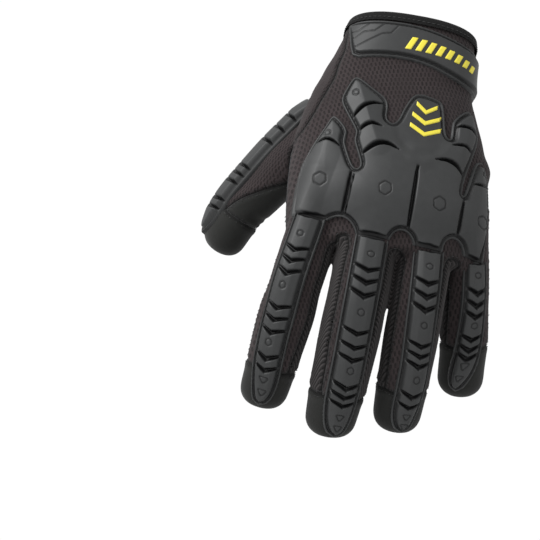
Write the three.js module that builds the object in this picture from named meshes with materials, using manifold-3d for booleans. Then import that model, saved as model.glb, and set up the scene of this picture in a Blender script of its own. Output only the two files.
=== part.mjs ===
// Impact glove, left hand, held up by its wrist opening: fingers down, back of the hand towards -Y.
// Millimetres, +Z up, origin at the centre of the wrist opening.
import * as THREE from "three";
import { mergeVertices } from "three/addons/utils/BufferGeometryUtils.js";
import Module from "manifold-3d";

const wasm = await Module();
wasm.setup();

// Driving sizes of the hand part
const PALM_LENGTH = 128; // rim to finger crotches
const KNUCKLE_WIDTH = 108;
const WRIST_WIDTH = 69.6;
const WRIST_DEPTH = 55;
const WEB_DEPTH = 25; // thickness of the hand part at the crotches
const ARCH_HEIGHT = 12; // how far both sides of the hand bend towards the palm
const WALL = 2; // cloth wall

// Driving sizes of the digits
const INDEX_LENGTH = 128; // from inside the knuckle to the tip
const MIDDLE_LENGTH = 136;
const RING_LENGTH = 129;
const LITTLE_LENGTH = 103;
const THUMB_LENGTH = 117;
const FINGER_WIDTH = 30;
const FINGER_DEPTH = 27;
const TIP_ROUND = 11.5; // length of the rounded end

// Driving sizes of the rubber and trim
const FLANGE_LIFT = 1.2;
const FLANGE_WIDTH = 2.2;
const PLATE_LIFT = 2.8;
const CROWN_LIFT = 1.3; // what the middle of a plate adds to its edge
const GROOVE_WIDTH = 1.8;
const STRIP_WIDTH = 17; // a finger strip with its flange
const STRIP_LIFT = 2.6;
const STRIP_RIDGE = 1; // what a strip's ridge adds to its shoulders
const BADGE_LIFT = 2;
const TAB_HEIGHT = 22; // closure tab, along the arm
const TAB_LIFT = 3;
const TAB_DROP = 6.4; // rim to the tab's top edge
const BINDING_HEIGHT = 5.6;
const BINDING_LIFT = 1.3;
const PULL_WIDTH = 15;
const PULL_LENGTH = 21;
const PULL_THICKNESS = 2.2;
const GAP = 0.3; // clearance between pieces that touch

// Mesh fineness
const HAND_SIDES = 20;
const DIGIT_SIDES = 10;
const HAND_POWER = 2.5; // squareness of the hand's sections
const DIGIT_POWER = 2.2;
const CAP_POWER = 2.4;
const CAP_STOPS = [0.5, 0.85, 1]; // rings of a digit's rounded end, as shares of it
const CAP_LEAST = 0.02; // size of the last ring, as a share of the digit's
const ARCH_LEVEL = 0.3; // place across the hand, squared, that the arch leaves where it is
const MERGE_DISTANCE = 1e-4;
const FAR = 120; // reach of a cutting block past the part

// Sections of the hand part. drop: share of PALM_LENGTH. shift: of KNUCKLE_WIDTH. spread: 0 at
// WRIST_WIDTH, 1 at KNUCKLE_WIDTH. thin: 0 at WRIST_DEPTH, 1 at WEB_DEPTH. back: of WRIST_DEPTH.
// arch: of ARCH_HEIGHT.
const HAND_SECTIONS = [
  { drop: 0, shift: 0.005, spread: 0, thin: 0, back: 0, arch: 0 },
  { drop: 0.063, shift: 0, spread: 0.05, thin: 0, back: 0, arch: 0 },
  { drop: 0.188, shift: -0.023, spread: 0.2, thin: 0, back: 0, arch: 0.04 },
  { drop: 0.313, shift: -0.037, spread: 0.45, thin: 0.03, back: 0, arch: 0.17 },
  { drop: 0.469, shift: -0.019, spread: 0.82, thin: 0.1, back: 0.018, arch: 0.33 },
  { drop: 0.68, shift: 0.005, spread: 0.99, thin: 0.23, back: 0.073, arch: 0.67 },
  { drop: 0.828, shift: 0.014, spread: 1.01, thin: 0.43, back: 0.118, arch: 0.92 },
  { drop: 0.922, shift: 0.019, spread: 0.95, thin: 0.7, back: 0.1, arch: 1 },
  { drop: 1, shift: 0.023, spread: 0.84, thin: 1, back: 0.073, arch: 1 },
];

// Digits. across: of KNUCKLE_WIDTH. back: of WRIST_DEPTH. drop: of PALM_LENGTH. Bends and turns in
// degrees. middleJoint, tipJoint and tipSeam: of the digit's length. widths, depths and turns hold one
// value for the root, the middle joint, the tip joint and the start of the rounded end, as shares of
// FINGER_WIDTH and FINGER_DEPTH; a turn says how far the guard sits round from the digit's back.
const FINGERS = [
  {
    name: "index", length: INDEX_LENGTH, across: -0.296, back: 0.173, drop: 0.754, lean: -7.5,
    bends: [10, 12, 12], middleJoint: 0.453, tipJoint: 0.742, tipSeam: 0.81,
    widths: [0.94, 1, 0.94, 0.84], depths: [1, 1, 0.926, 0.852], turns: [-9, -21, -20, -5],
  },
  {
    name: "middle", length: MIDDLE_LENGTH, across: -0.042, back: 0.236, drop: 0.77, lean: -2,
    bends: [10, 14, 14], middleJoint: 0.441, tipJoint: 0.728, tipSeam: 0.81,
    widths: [0.95, 1.07, 1.04, 0.907], depths: [1.02, 1.02, 0.963, 0.874], turns: [2, 8, 12, 12],
  },
  {
    name: "ring", length: RING_LENGTH, across: 0.231, back: 0.173, drop: 0.754, lean: 0.5,
    bends: [11, 16, 16], middleJoint: 0.442, tipJoint: 0.736, tipSeam: 0.79,
    widths: [0.92, 0.96, 0.94, 0.853], depths: [1, 1, 0.926, 0.852], turns: [-3, 12, 20, 12],
  },
  {
    name: "little", length: LITTLE_LENGTH, across: 0.416, back: -0.02, drop: 0.738, lean: 8.5,
    bends: [14, 16, 16], middleJoint: 0.485, tipJoint: 0.738, tipSeam: 0.7,
    widths: [0.75, 0.82, 0.86, 0.84], depths: [0.926, 0.926, 0.889, 0.852], turns: [12, 15, 3, -18],
  },
];
const THUMB = {
  name: "thumb", length: THUMB_LENGTH, across: -0.185, back: -0.145, drop: 0.305,
  along: [-0.64, 0.36, -0.72], facing: [-0.8, -0.42, 0.44],
  bends: [-2, 6, 12], middleJoint: 0.47, tipJoint: 0.76, tipSeam: 0.8,
  widths: [1.27, 1.2, 1.08, 0.96], depths: [1.48, 1.11, 0.963, 0.889], turns: [0, 0, 0, 0],
};

const BEND_REACH = 11; // half the length over which a joint bends
const STATIONS = 60;

const degrees = (angle) => (angle * Math.PI) / 180;
const signedPower = (value, power) => Math.sign(value) * Math.abs(value) ** power;
const mix = (a, b, t) => a + (b - a) * t;
const clamp01 = (t) => Math.min(1, Math.max(0, t));

function smoothStep(t) {
  const inside = clamp01(t);
  return inside * inside * (3 - 2 * inside);
}

// The value of a column where the table's key column reads `at`, between rows in a straight line.
function read(rows, key, at, column) {
  let low = 0;
  while (low < rows.length - 2 && rows[low + 1][key] < at) low += 1;
  const share = (at - rows[low][key]) / (rows[low + 1][key] - rows[low][key]);
  return mix(rows[low][column], rows[low + 1][column], clamp01(share));
}

function handSection(z) {
  const drop = -z / PALM_LENGTH;
  const column = (name) => read(HAND_SECTIONS, "drop", drop, name);
  return {
    x: column("shift") * KNUCKLE_WIDTH,
    y: -column("back") * WRIST_DEPTH,
    halfWidth: mix(WRIST_WIDTH, KNUCKLE_WIDTH, column("spread")) / 2,
    halfDepth: mix(WRIST_DEPTH, WEB_DEPTH, column("thin")) / 2,
    arch: column("arch") * ARCH_HEIGHT,
  };
}

// A point of the hand part's surface. turn runs from the little finger's side over the back.
function handPoint(turn, z, grow = 0) {
  const section = handSection(z);
  const across = signedPower(Math.cos(turn), 2 / HAND_POWER);
  const out = signedPower(Math.sin(turn), 2 / HAND_POWER);
  const bow = section.arch * (across * across - ARCH_LEVEL);
  return new THREE.Vector3(
    section.x + (section.halfWidth + grow) * across,
    section.y - (section.halfDepth + grow) * out + bow,
    z,
  );
}

// Stations along a digit: place, direction along it and direction of its back.
function makeDigit(spec) {
  const lean = degrees(spec.lean ?? 0);
  const along = new THREE.Vector3(...(spec.along ?? [Math.sin(lean), 0, -Math.cos(lean)])).normalize();
  const facing = new THREE.Vector3(...(spec.facing ?? [0, -1, 0]));
  facing.addScaledVector(along, -facing.dot(along)).normalize();
  const side = new THREE.Vector3().crossVectors(facing, along);
  const digit = { ...spec, side, stations: [], bodyLength: spec.length - TIP_ROUND };
  const step = digit.bodyLength / STATIONS;
  const place = new THREE.Vector3(
    spec.across * KNUCKLE_WIDTH,
    -spec.back * WRIST_DEPTH,
    -spec.drop * PALM_LENGTH,
  );
  const joints = [spec.middleJoint, spec.tipJoint].map((share) => share * spec.length);
  for (let i = 0; i <= STATIONS; i += 1) {
    const at = i * step;
    const bend = joints.reduce(
      (sum, joint, j) => sum + spec.bends[j + 1] * smoothStep((at - joint + BEND_REACH) / (2 * BEND_REACH)),
      spec.bends[0],
    );
    const cos = Math.cos(degrees(bend));
    const sin = Math.sin(degrees(bend));
    const forward = along.clone().multiplyScalar(cos).addScaledVector(facing, -sin);
    const outward = along.clone().multiplyScalar(sin).addScaledVector(facing, cos);
    if (i > 0) place.addScaledVector(forward, step);
    digit.stations.push({ place: place.clone(), forward, outward });
  }
  digit.profile = [0, joints[0], joints[1], digit.bodyLength].map((at, i) => ({
    at,
    halfWidth: (spec.widths[i] * FINGER_WIDTH) / 2,
    halfDepth: (spec.depths[i] * FINGER_DEPTH) / 2,
    turn: degrees(spec.turns[i]),
  }));
  return digit;
}

function digitFrame(digit, at) {
  const exact = clamp01(at / digit.bodyLength) * STATIONS;
  const low = Math.min(STATIONS - 1, Math.floor(exact));
  const a = digit.stations[low];
  const b = digit.stations[low + 1];
  const share = exact - low;
  const forward = a.forward.clone().lerp(b.forward, share).normalize();
  const past = Math.max(0, at - digit.bodyLength) + Math.min(0, at);
  return {
    place: a.place.clone().lerp(b.place, share).addScaledVector(forward, past),
    forward,
    outward: a.outward.clone().lerp(b.outward, share).normalize(),
  };
}

// A point in a digit's own cross-section: across it and out of its back.
function inDigit(digit, at, across, out) {
  const frame = digitFrame(digit, at);
  return frame.place.addScaledVector(digit.side, across).addScaledVector(frame.outward, out);
}

// A point of a digit's surface. turn 0 is the middle of its back.
function digitPoint(digit, at, turn, grow = 0) {
  const round = clamp01((at - digit.bodyLength) / (TIP_ROUND + grow));
  const shrink = Math.max(CAP_LEAST, (1 - round ** CAP_POWER) ** (1 / CAP_POWER));
  const halfWidth = (read(digit.profile, "at", at, "halfWidth") + grow) * shrink;
  const halfDepth = (read(digit.profile, "at", at, "halfDepth") + grow) * shrink;
  return inDigit(
    digit,
    at,
    halfWidth * signedPower(Math.sin(turn), 2 / DIGIT_POWER),
    halfDepth * signedPower(Math.cos(turn), 2 / DIGIT_POWER),
  );
}

// The same place given as a length round from the middle of the guard strip, with a lift off the cloth.
function stripPoint(digit, at, round, lift) {
  const column = (name) => read(digit.profile, "at", at, name);
  const radius = (column("halfWidth") + column("halfDepth")) / 2;
  return digitPoint(digit, at, column("turn") + round / radius, lift);
}

// A closed geometry from an array of rings of equal length, capped at both ends.
function loft(rings) {
  const sides = rings[0].length;
  const points = rings.flat();
  const faces = [];
  for (let row = 0; row + 1 < rings.length; row += 1) {
    for (let i = 0; i < sides; i += 1) {
      const next = (i + 1) % sides;
      const a = row * sides + i;
      const b = row * sides + next;
      faces.push(a, b, b + sides, a, b + sides, a + sides);
    }
  }
  capRing(points, faces, rings[0], 0, true);
  capRing(points, faces, rings.at(-1), (rings.length - 1) * sides, false);
  return closedGeometry(points, faces);
}

function capRing(points, faces, ring, first, isStart) {
  const middle = ring.reduce((sum, p) => sum.add(p), new THREE.Vector3()).divideScalar(ring.length);
  const centre = points.push(middle) - 1;
  ring.forEach((_, i) => {
    const a = first + i;
    const b = first + ((i + 1) % ring.length);
    if (isStart) faces.push(centre, b, a);
    else faces.push(centre, a, b);
  });
}

// A closed geometry between an upper and a lower grid of points with the same rows and columns.
function slab(upper, lower) {
  return loft(upper.map((row, i) => [...row, ...lower[i].toReversed()]));
}

function closedGeometry(points, faces) {
  const geometry = new THREE.BufferGeometry();
  geometry.setAttribute("position", new THREE.Float32BufferAttribute(points.flatMap((p) => p.toArray()), 3));
  geometry.setIndex(faces);
  return geometry;
}

// Solid for joining and cutting. A geometry that was wound inwards is turned round first.
function solidOf(geometry) {
  const bare = new THREE.BufferGeometry().setAttribute("position", geometry.getAttribute("position"));
  const merged = mergeVertices(bare.setIndex(geometry.index), MERGE_DISTANCE);
  const make = (triVerts) => {
    const mesh = new wasm.Mesh({ numProp: 3, vertProperties: merged.attributes.position.array, triVerts });
    return new wasm.Manifold(mesh);
  };
  const solid = make(new Uint32Array(merged.index.array));
  if (solid.volume() >= 0) return solid;
  return make(new Uint32Array(merged.index.array).reverse());
}

const join = (solids) => solids.reduce((sum, next) => sum.add(next));

// The largest connected body of a cut piece, without crumbs that a cut leaves at a seam.
function mainBody(solid) {
  return solid.decompose().sort((a, b) => b.volume() - a.volume())[0];
}

function geometryOf(solid) {
  const mesh = solid.getMesh();
  const geometry = new THREE.BufferGeometry();
  geometry.setAttribute("position", new THREE.BufferAttribute(new Float32Array(mesh.vertProperties), 3));
  geometry.setIndex(new THREE.BufferAttribute(mesh.triVerts, 1));
  const flat = geometry.toNonIndexed();
  flat.computeVertexNormals();
  return flat;
}

const steps = (from, to, count) => Array.from({ length: count }, (_, i) => mix(from, to, i / (count - 1)));

// Hand part and digits as full bodies, grown or shrunk
const HAND_ROWS = 8;
const DIGIT_ROWS = 6;
const WEB_ROUND = 3.5;
const BODY_TOP = 2; // the bodies run past the rim, so that cuts there are clean

function handBody(grow) {
  const end = -PALM_LENGTH;
  const ring = (z, size) =>
    steps(0, 2 * Math.PI, HAND_SIDES + 1).slice(0, -1).map((turn) => handPoint(turn, z, size));
  const rings = steps(BODY_TOP, end, HAND_ROWS).map((z) => ring(z, grow));
  const last = ring(end, grow - WEB_ROUND).map((p) => p.setZ(end - WEB_ROUND - grow));
  return solidOf(loft([...rings, last]));
}

function digitBody(digit, grow) {
  const ring = (at) =>
    steps(0, 2 * Math.PI, DIGIT_SIDES + 1).slice(0, -1).map((turn) => digitPoint(digit, at, turn, grow));
  const body = steps(0, digit.bodyLength, DIGIT_ROWS).map(ring);
  const cap = CAP_STOPS.map((share) => ring(digit.bodyLength + share * (TIP_ROUND + grow)));
  return solidOf(loft([...body, ...cap]));
}

const fingers = FINGERS.map(makeDigit);
const thumb = makeDigit(THUMB);
const digits = [...fingers, thumb];

// Everything below the height z, as a block for cutting.
const below = (z) => solidOf(new THREE.BoxGeometry(2 * FAR, 2 * FAR, 4 * FAR).translate(0, 0, z - 2 * FAR));
const above = (z) => solidOf(new THREE.BoxGeometry(2 * FAR, 2 * FAR, FAR).translate(0, 0, z + FAR / 2));

function gloveBody(grow) {
  return join([handBody(grow), ...digits.map((digit) => digitBody(digit, grow))]);
}

const RIM_SEAT = 1.8; // how far the cloth stops below the rim, inside the binding
const outer = gloveBody(0);
const inner = gloveBody(-WALL);
const clearOuter = gloveBody(GAP);
const shell = outer.subtract(inner).intersect(below(-RIM_SEAT));

// Seams between the cloth panels
const SEAM_HALF = 6; // half the width of a fourchette
const PANEL_ROWS = 5;
const BACK_START = 15; // length along a finger where its own back panel takes over
const WEB_START = 24;
const BLOCK_TOP = 12; // cutting blocks start this far above the rim
const BLOCK_ROWS = 8;
const HAND_BACK_END = 0.9; // shares of PALM_LENGTH: where the hand's block over its back ends,
const WEB_BACK_START = 0.86; // where the crotches' block starts,
const THUMB_SIDE_END = 0.74; // and where the thumb side's block ends
const WEB_PAST = 2; // how far the crotches' block runs past them
const WEB_BLOCK_ROWS = 4;
const PANEL_REACH = 0.62; // half the width of a finger's block, as a share of FINGER_WIDTH
const PANEL_HEIGHT = 24; // height of a finger's block over its middle line
const THUMB_REACH = 40; // half the width of the block over the thumb's outer side

// Where the back seam on the thumb's side runs. drop: of PALM_LENGTH. across: of KNUCKLE_WIDTH.
const BACK_SEAM = [
  { drop: -0.1, across: -0.32 },
  { drop: 0.25, across: -0.345 },
  { drop: 0.41, across: -0.393 },
  { drop: 0.48, across: -0.42 },
  { drop: 0.555, across: -0.466 },
  { drop: 0.62, across: -0.54 },
  { drop: 1.1, across: -0.54 },
];

const seamAcross = (z) => read(BACK_SEAM, "drop", -z / PALM_LENGTH, "across") * KNUCKLE_WIDTH;

function sideHeight(z) {
  const section = handSection(z);
  return section.y + section.arch * (1 - ARCH_LEVEL);
}

function quadRing(digit, at, corners) {
  return corners.map(([across, out]) => inDigit(digit, at, across, out));
}

// Lengths along a digit, the same for each `grow` but for the added ends, so that grown blocks hold
// the ones that they grew from.
function grownStops(from, to, grow) {
  const inside = steps(from, to, PANEL_ROWS);
  return grow > 0 ? [from - grow, ...inside, to + grow] : inside;
}

// Block over the back of the hand, grown towards the palm by `grow`.
function handBackBlock(grow) {
  const rows = steps(BLOCK_TOP, -HAND_BACK_END * PALM_LENGTH, BLOCK_ROWS).map((z) => {
    const left = seamAcross(z) - grow;
    const low = sideHeight(z) + grow;
    const corners = [[left, -FAR], [FAR, -FAR], [FAR, low], [left, low]];
    return corners.map(([x, y]) => new THREE.Vector3(x, y, z));
  });
  return solidOf(loft(rows));
}

// Block over the back of the crotches, from the index's middle to the little finger's.
function webBackBlock(grow) {
  const end = PALM_LENGTH + WEB_ROUND + WEB_PAST;
  const rows = steps(-WEB_BACK_START * PALM_LENGTH, -end, WEB_BLOCK_ROWS).map((z) => {
    const seam = fingers.map((finger) => {
      const point = inDigit(finger, Math.max(0, -z - finger.drop * PALM_LENGTH), 0, SEAM_HALF - grow);
      return point.setZ(z);
    });
    return [...seam, new THREE.Vector3(seam.at(-1).x, -FAR, z), new THREE.Vector3(seam[0].x, -FAR, z)];
  });
  return solidOf(loft(rows));
}

function fingerBackBlock(finger, index, grow) {
  const reach = FINGER_WIDTH * PANEL_REACH;
  const left = (index === 0 ? 0 : SEAM_HALF) - grow;
  const right = (index === fingers.length - 1 ? 0 : SEAM_HALF) - grow;
  const corners = [[-reach, left], [reach, right], [reach, PANEL_HEIGHT], [-reach, PANEL_HEIGHT]];
  const stops = grownStops(BACK_START, finger.tipSeam * finger.length, grow);
  return solidOf(loft(stops.map((at) => quadRing(finger, at, corners))));
}

function fourchetteBlock(left, right, grow) {
  const half = SEAM_HALF - GAP + grow;
  const stops = (finger) => grownStops(WEB_START, finger.tipSeam * finger.length - GAP, grow);
  const rightStops = stops(right);
  const rows = stops(left).map((at, i) => [
    inDigit(left, at, 0, half),
    inDigit(right, rightStops[i], 0, half),
    inDigit(right, rightStops[i], 0, -half),
    inDigit(left, at, 0, -half),
  ]);
  return solidOf(loft(rows));
}

const THUMB_SEAM_START = 36; // length along the thumb where its panels leave the hand
const THUMB_SIDE_REACH = 9; // how far its side panel runs past the hand's side seam
const THUMB_OUTER_START = 2; // where its outer panel starts, beside the hand
const THUMB_MARGIN = 0.8; // the thumb's zone reaches this far past its cloth

const FINGER_SEAM = 34; // length along a finger where its own front and back leave the hand's panels
const FINGER_MARGIN = 0.1; // a finger's zone reaches this far past its cloth

const thumbBlock = (grow) => digitBody(thumb, THUMB_MARGIN + grow);

// Everything of a digit past a length along it, with a margin on all sides.
function digitZone(digit, from, margin) {
  const corners = [[-FAR, -FAR], [FAR, -FAR], [FAR, FAR], [-FAR, FAR]];
  const past = loft([0, 2 * FAR].map((ahead) => flatRing(digit, from, ahead, corners)));
  return digitBody(digit, margin).intersect(solidOf(past));
}

const thumbZone = (grow) => digitZone(thumb, THUMB_SEAM_START - grow, THUMB_MARGIN + grow);
const fingerZone = (finger, grow) => digitZone(finger, FINGER_SEAM - grow, FINGER_MARGIN + grow);

// The rounded end of a digit past its cross seam.
function tipZone(digit, grow) {
  const start = digit.tipSeam * digit.length + GAP;
  return digitZone(digit, start - grow, FINGER_MARGIN + grow);
}

// A ring in the plane across a digit at one length, moved straight ahead.
function flatRing(digit, at, ahead, corners) {
  const { forward } = digitFrame(digit, at);
  return quadRing(digit, at, corners).map((point) => point.addScaledVector(forward, ahead));
}

// Block over the outer side of the thumb, up to the seam round its tip.
function thumbOuterBlock(grow) {
  const reach = THUMB_REACH;
  const corners = [[-reach, -grow], [reach, -grow], [reach, reach], [-reach, reach]];
  const stops = grownStops(THUMB_OUTER_START, thumb.tipSeam * thumb.length, grow);
  return solidOf(loft(stops.map((at) => quadRing(thumb, at, corners))));
}

// Block over the thumb's side of the back, from the rim down to the thumb.
function thumbSideBlock(grow) {
  const rows = steps(BLOCK_TOP, -THUMB_SIDE_END * PALM_LENGTH, BLOCK_ROWS).map((z) => {
    const right = seamAcross(z) - GAP + grow;
    const low = sideHeight(z) + THUMB_SIDE_REACH + grow;
    const corners = [[-FAR, -FAR], [right, -FAR], [right, low], [-FAR, low]];
    return corners.map(([x, y]) => new THREE.Vector3(x, y, z));
  });
  return solidOf(loft(rows)).subtract(thumbZone(0).subtract(thumbOuterBlock(grow)));
}

function backBlocks(grow) {
  const fingerBlocks = fingers.map((finger, i) => fingerBackBlock(finger, i, grow));
  return join([handBackBlock(grow), webBackBlock(grow), ...fingerBlocks]);
}

const pairs = fingers.slice(0, -1).map((finger, i) => [finger, fingers[i + 1]]);
const webBlocks = (grow) => pairs.map(([left, right]) => fourchetteBlock(left, right, grow));

// A finger's own pieces of the back and the palm side, and its tip.
function fingerPanels(finger, back, palm) {
  const zone = fingerZone(finger, 0);
  return {
    [`finger_back_${finger.name}`]: back.intersect(zone).subtract(tipZone(finger, GAP)),
    [`finger_front_${finger.name}`]: palm.intersect(zone).subtract(tipZone(finger, GAP)),
    [`fingertip_${finger.name}`]: palm.intersect(tipZone(finger, 0)),
  };
}

function clothPanels() {
  const backBlock = backBlocks(0).subtract(thumbZone(GAP));
  const wideWebs = join(webBlocks(GAP));
  const thumbBack = thumbSideBlock(0).add(thumbBlock(0).intersect(thumbOuterBlock(0)));
  const wideThumbBack = thumbSideBlock(GAP).add(thumbBlock(GAP).intersect(thumbOuterBlock(GAP)));
  const back = shell.intersect(backBlock).subtract(wideWebs).subtract(wideThumbBack);
  const palm = shell
    .subtract(backBlocks(GAP))
    .subtract(wideWebs)
    .subtract(wideThumbBack)
    .subtract(thumbZone(GAP));
  const wideFingers = join(fingers.map((finger) => fingerZone(finger, GAP)));
  const panels = {
    back_panel: back.subtract(wideFingers),
    palm_panel: palm.subtract(wideFingers),
    thumb_back_panel: shell.intersect(thumbBack),
    thumb_palm_panel: shell.intersect(thumbZone(0)).subtract(wideThumbBack).subtract(tipZone(thumb, GAP)),
    thumb_tip: shell.intersect(tipZone(thumb, 0)),
  };
  let apart = shell; // what the fingers done so far leave, where neighbours touch
  for (const finger of fingers) {
    for (const [name, solid] of Object.entries(fingerPanels(finger, back, palm))) {
      panels[name] = solid.intersect(apart);
    }
    apart = apart.subtract(fingerZone(finger, GAP));
  }
  webBlocks(0).forEach((block, i) => {
    const name = `fourchette_${pairs[i][0].name}_${pairs[i][1].name}`;
    panels[name] = shell.intersect(block).subtract(backBlock);
  });
  return panels;
}

// Height of the back of the hand as a surface over x and z: the hand part blended with the knuckles
const BLEND = 0.8; // sharpness of the blend, per millimetre
const KNUCKLE_FADE = 0.25; // how fast a finger's back sinks into the hand above its root
const EDGE_SHARE = 0.97; // the surface runs out flat past this share of the hand's half width
const SLOPE_STEP = 0.5; // distance over which its slope is measured

function fingerHeight(finger, x, z) {
  const at = (-z - finger.drop * PALM_LENGTH) / Math.cos(degrees(finger.bends[0]));
  const frame = digitFrame(finger, Math.max(0, at));
  const halfWidth = read(finger.profile, "at", at, "halfWidth");
  const share = Math.abs(x - frame.place.x) / halfWidth;
  if (share >= 1) return Infinity;
  const rise = (1 - share ** DIGIT_POWER) ** (1 / DIGIT_POWER) * read(finger.profile, "at", at, "halfDepth");
  return frame.place.y - rise + Math.max(0, -at) * KNUCKLE_FADE;
}

function backHeight(x, z) {
  const section = handSection(z);
  const share = Math.min(EDGE_SHARE, Math.abs(x - section.x) / section.halfWidth);
  const rise = (1 - share ** HAND_POWER) ** (1 / HAND_POWER) * section.halfDepth;
  const hand = section.y - rise + section.arch * (share * share - ARCH_LEVEL);
  const heights = [hand, ...fingers.map((finger) => fingerHeight(finger, x, z))];
  const sum = heights.reduce((total, y) => total + Math.exp(-BLEND * (y - hand)), 0);
  return hand - Math.log(sum) / BLEND;
}

function backPoint(x, z, lift) {
  const y = backHeight(x, z);
  const slopeX = (backHeight(x + SLOPE_STEP, z) - backHeight(x - SLOPE_STEP, z)) / (2 * SLOPE_STEP);
  const slopeZ = (backHeight(x, z + SLOPE_STEP) - backHeight(x, z - SLOPE_STEP)) / (2 * SLOPE_STEP);
  const normal = new THREE.Vector3(slopeX, -1, slopeZ).normalize();
  return new THREE.Vector3(x, y, z).addScaledVector(normal, lift);
}

// Outlines of the guard over the hand, flange included, one table for each ray. drop: of PALM_LENGTH.
// left and right: of KNUCKLE_WIDTH.
const RAYS = [
  {
    name: "index",
    grooves: [0.59],
    rows: [
      { drop: 0.505, left: -0.323, right: -0.312 },
      { drop: 0.54, left: -0.343, right: -0.276 },
      { drop: 0.6, left: -0.377, right: -0.257 },
      { drop: 0.67, left: -0.412, right: -0.239 },
      { drop: 0.72, left: -0.438, right: -0.2 },
      { drop: 0.8, left: -0.444, right: -0.19 },
      { drop: 0.92, left: -0.441, right: -0.197 },
      { drop: 0.935, left: -0.436, right: -0.212 },
      { drop: 0.965, left: -0.43, right: -0.258 },
    ],
  },
  {
    name: "middle",
    grooves: [0.445, 0.535, 0.63],
    rows: [
      { drop: 0.322, left: -0.262, right: -0.23 },
      { drop: 0.34, left: -0.268, right: -0.178 },
      { drop: 0.405, left: -0.289, right: -0.097 },
      { drop: 0.44, left: -0.3, right: -0.077 },
      { drop: 0.47, left: -0.276, right: -0.074 },
      { drop: 0.52, left: -0.24, right: -0.048 },
      { drop: 0.6, left: -0.207, right: 0.018 },
      { drop: 0.65, left: -0.2, right: 0.065 },
      { drop: 0.72, left: -0.182, right: 0.114 },
      { drop: 0.8, left: -0.19, right: 0.12 },
      { drop: 0.92, left: -0.197, right: 0.121 },
      { drop: 0.955, left: -0.18, right: 0.095 },
      { drop: 0.995, left: -0.128, right: 0.05 },
    ],
  },
  {
    name: "ring",
    grooves: [0.49, 0.57, 0.67],
    rows: [
      { drop: 0.367, left: 0.324, right: 0.343 },
      { drop: 0.43, left: 0.28, right: 0.384 },
      { drop: 0.47, left: 0.261, right: 0.403 },
      { drop: 0.52, left: 0.25, right: 0.41 },
      { drop: 0.6, left: 0.23, right: 0.387 },
      { drop: 0.66, left: 0.18, right: 0.372 },
      { drop: 0.71, left: 0.13, right: 0.36 },
      { drop: 0.8, left: 0.12, right: 0.364 },
      { drop: 0.92, left: 0.121, right: 0.368 },
      { drop: 0.95, left: 0.14, right: 0.352 },
      { drop: 0.99, left: 0.172, right: 0.312 },
    ],
  },
  {
    name: "little",
    grooves: [0.66],
    rows: [
      { drop: 0.56, left: 0.42, right: 0.442 },
      { drop: 0.6, left: 0.398, right: 0.466 },
      { drop: 0.68, left: 0.374, right: 0.494 },
      { drop: 0.76, left: 0.364, right: 0.508 },
      { drop: 0.83, left: 0.365, right: 0.512 },
      { drop: 0.92, left: 0.368, right: 0.508 },
      { drop: 0.94, left: 0.38, right: 0.504 },
      { drop: 0.97, left: 0.404, right: 0.502 },
    ],
  },
];
const BADGE_ROWS = [
  { drop: 0.355, left: 0.075, right: 0.14 },
  { drop: 0.372, left: 0.042, right: 0.182 },
  { drop: 0.406, left: 0.024, right: 0.208 },
  { drop: 0.45, left: 0.008, right: 0.218 },
  { drop: 0.51, left: -0.014, right: 0.231 },
  { drop: 0.55, left: -0.016, right: 0.242 },
  { drop: 0.6, left: 0.016, right: 0.236 },
  { drop: 0.65, left: 0.068, right: 0.194 },
  { drop: 0.68, left: 0.11, right: 0.15 },
];
const BURIED = -1.5; // lower side of raw guard pieces, inside the cloth, before the cloth is cut away
const RAY_OVERLAP = 0.7; // how far the rays' flanges run into each other
const GROOVE_BOW = 2.6; // how far a cross groove arches towards the wrist
const BOW_HALF = 8; // a guard narrower than twice this has a smaller bow
const GROOVE_CLEAR = 1.5; // no other row comes nearer to a groove than this many of its widths
const LEAST_SHOULDER = 0.3; // of a guard's half width, where it is too narrow for its flange
const LEAST_HALF = 0.4; // half the width of a guard's pointed end

// Rows along a guard piece: the given stops, and for each groove its two lips and its bottom.
function guardRows(stops, grooves) {
  const half = GROOVE_WIDTH / 2;
  const marks = grooves.flatMap((at) => [
    { at: at - half, cut: false },
    { at, cut: true },
    { at: at + half, cut: false },
  ]);
  const isFree = (at) => grooves.every((groove) => Math.abs(groove - at) > GROOVE_CLEAR * GROOVE_WIDTH);
  const free = stops.filter(isFree);
  return [...marks, ...free.map((at) => ({ at, cut: false }))].sort((a, b) => a.at - b.at);
}

// The five places across a guard piece, as shares of its half width: rim, shoulder, crown and back.
function guardColumns(half) {
  const shoulder = Math.max(LEAST_SHOULDER, (half - FLANGE_WIDTH) / half);
  return [-1, -shoulder, 0, shoulder, 1];
}

// The lift of a guard piece in a row, at one of the five columns.
function guardLift(row, column, shoulder, crown) {
  const top = [FLANGE_LIFT, shoulder, crown, shoulder, FLANGE_LIFT][column];
  return row.cut ? Math.min(top, FLANGE_LIFT) : top;
}

// One ray's plate over the hand, in a table's outline.
function handPlate(table, grooves, shoulder, crown) {
  const rows = guardRows(
    table.map((row) => row.drop * PALM_LENGTH),
    grooves.map((drop) => drop * PALM_LENGTH),
  );
  const grid = (isTop) =>
    rows.map((row) => {
      const left = read(table, "drop", row.at / PALM_LENGTH, "left") * KNUCKLE_WIDTH - RAY_OVERLAP;
      const right = read(table, "drop", row.at / PALM_LENGTH, "right") * KNUCKLE_WIDTH + RAY_OVERLAP;
      const half = Math.max(LEAST_HALF, (right - left) / 2);
      return guardColumns(half).map((side, column) => {
        const bow = grooves.length ? GROOVE_BOW * (1 - side * side) * clamp01(half / BOW_HALF) : 0;
        const lift = isTop ? guardLift(row, column, shoulder, crown) : BURIED;
        return backPoint((left + right) / 2 + half * side, bow - row.at, lift);
      });
    });
  return solidOf(slab(grid(true), grid(false)));
}

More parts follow.
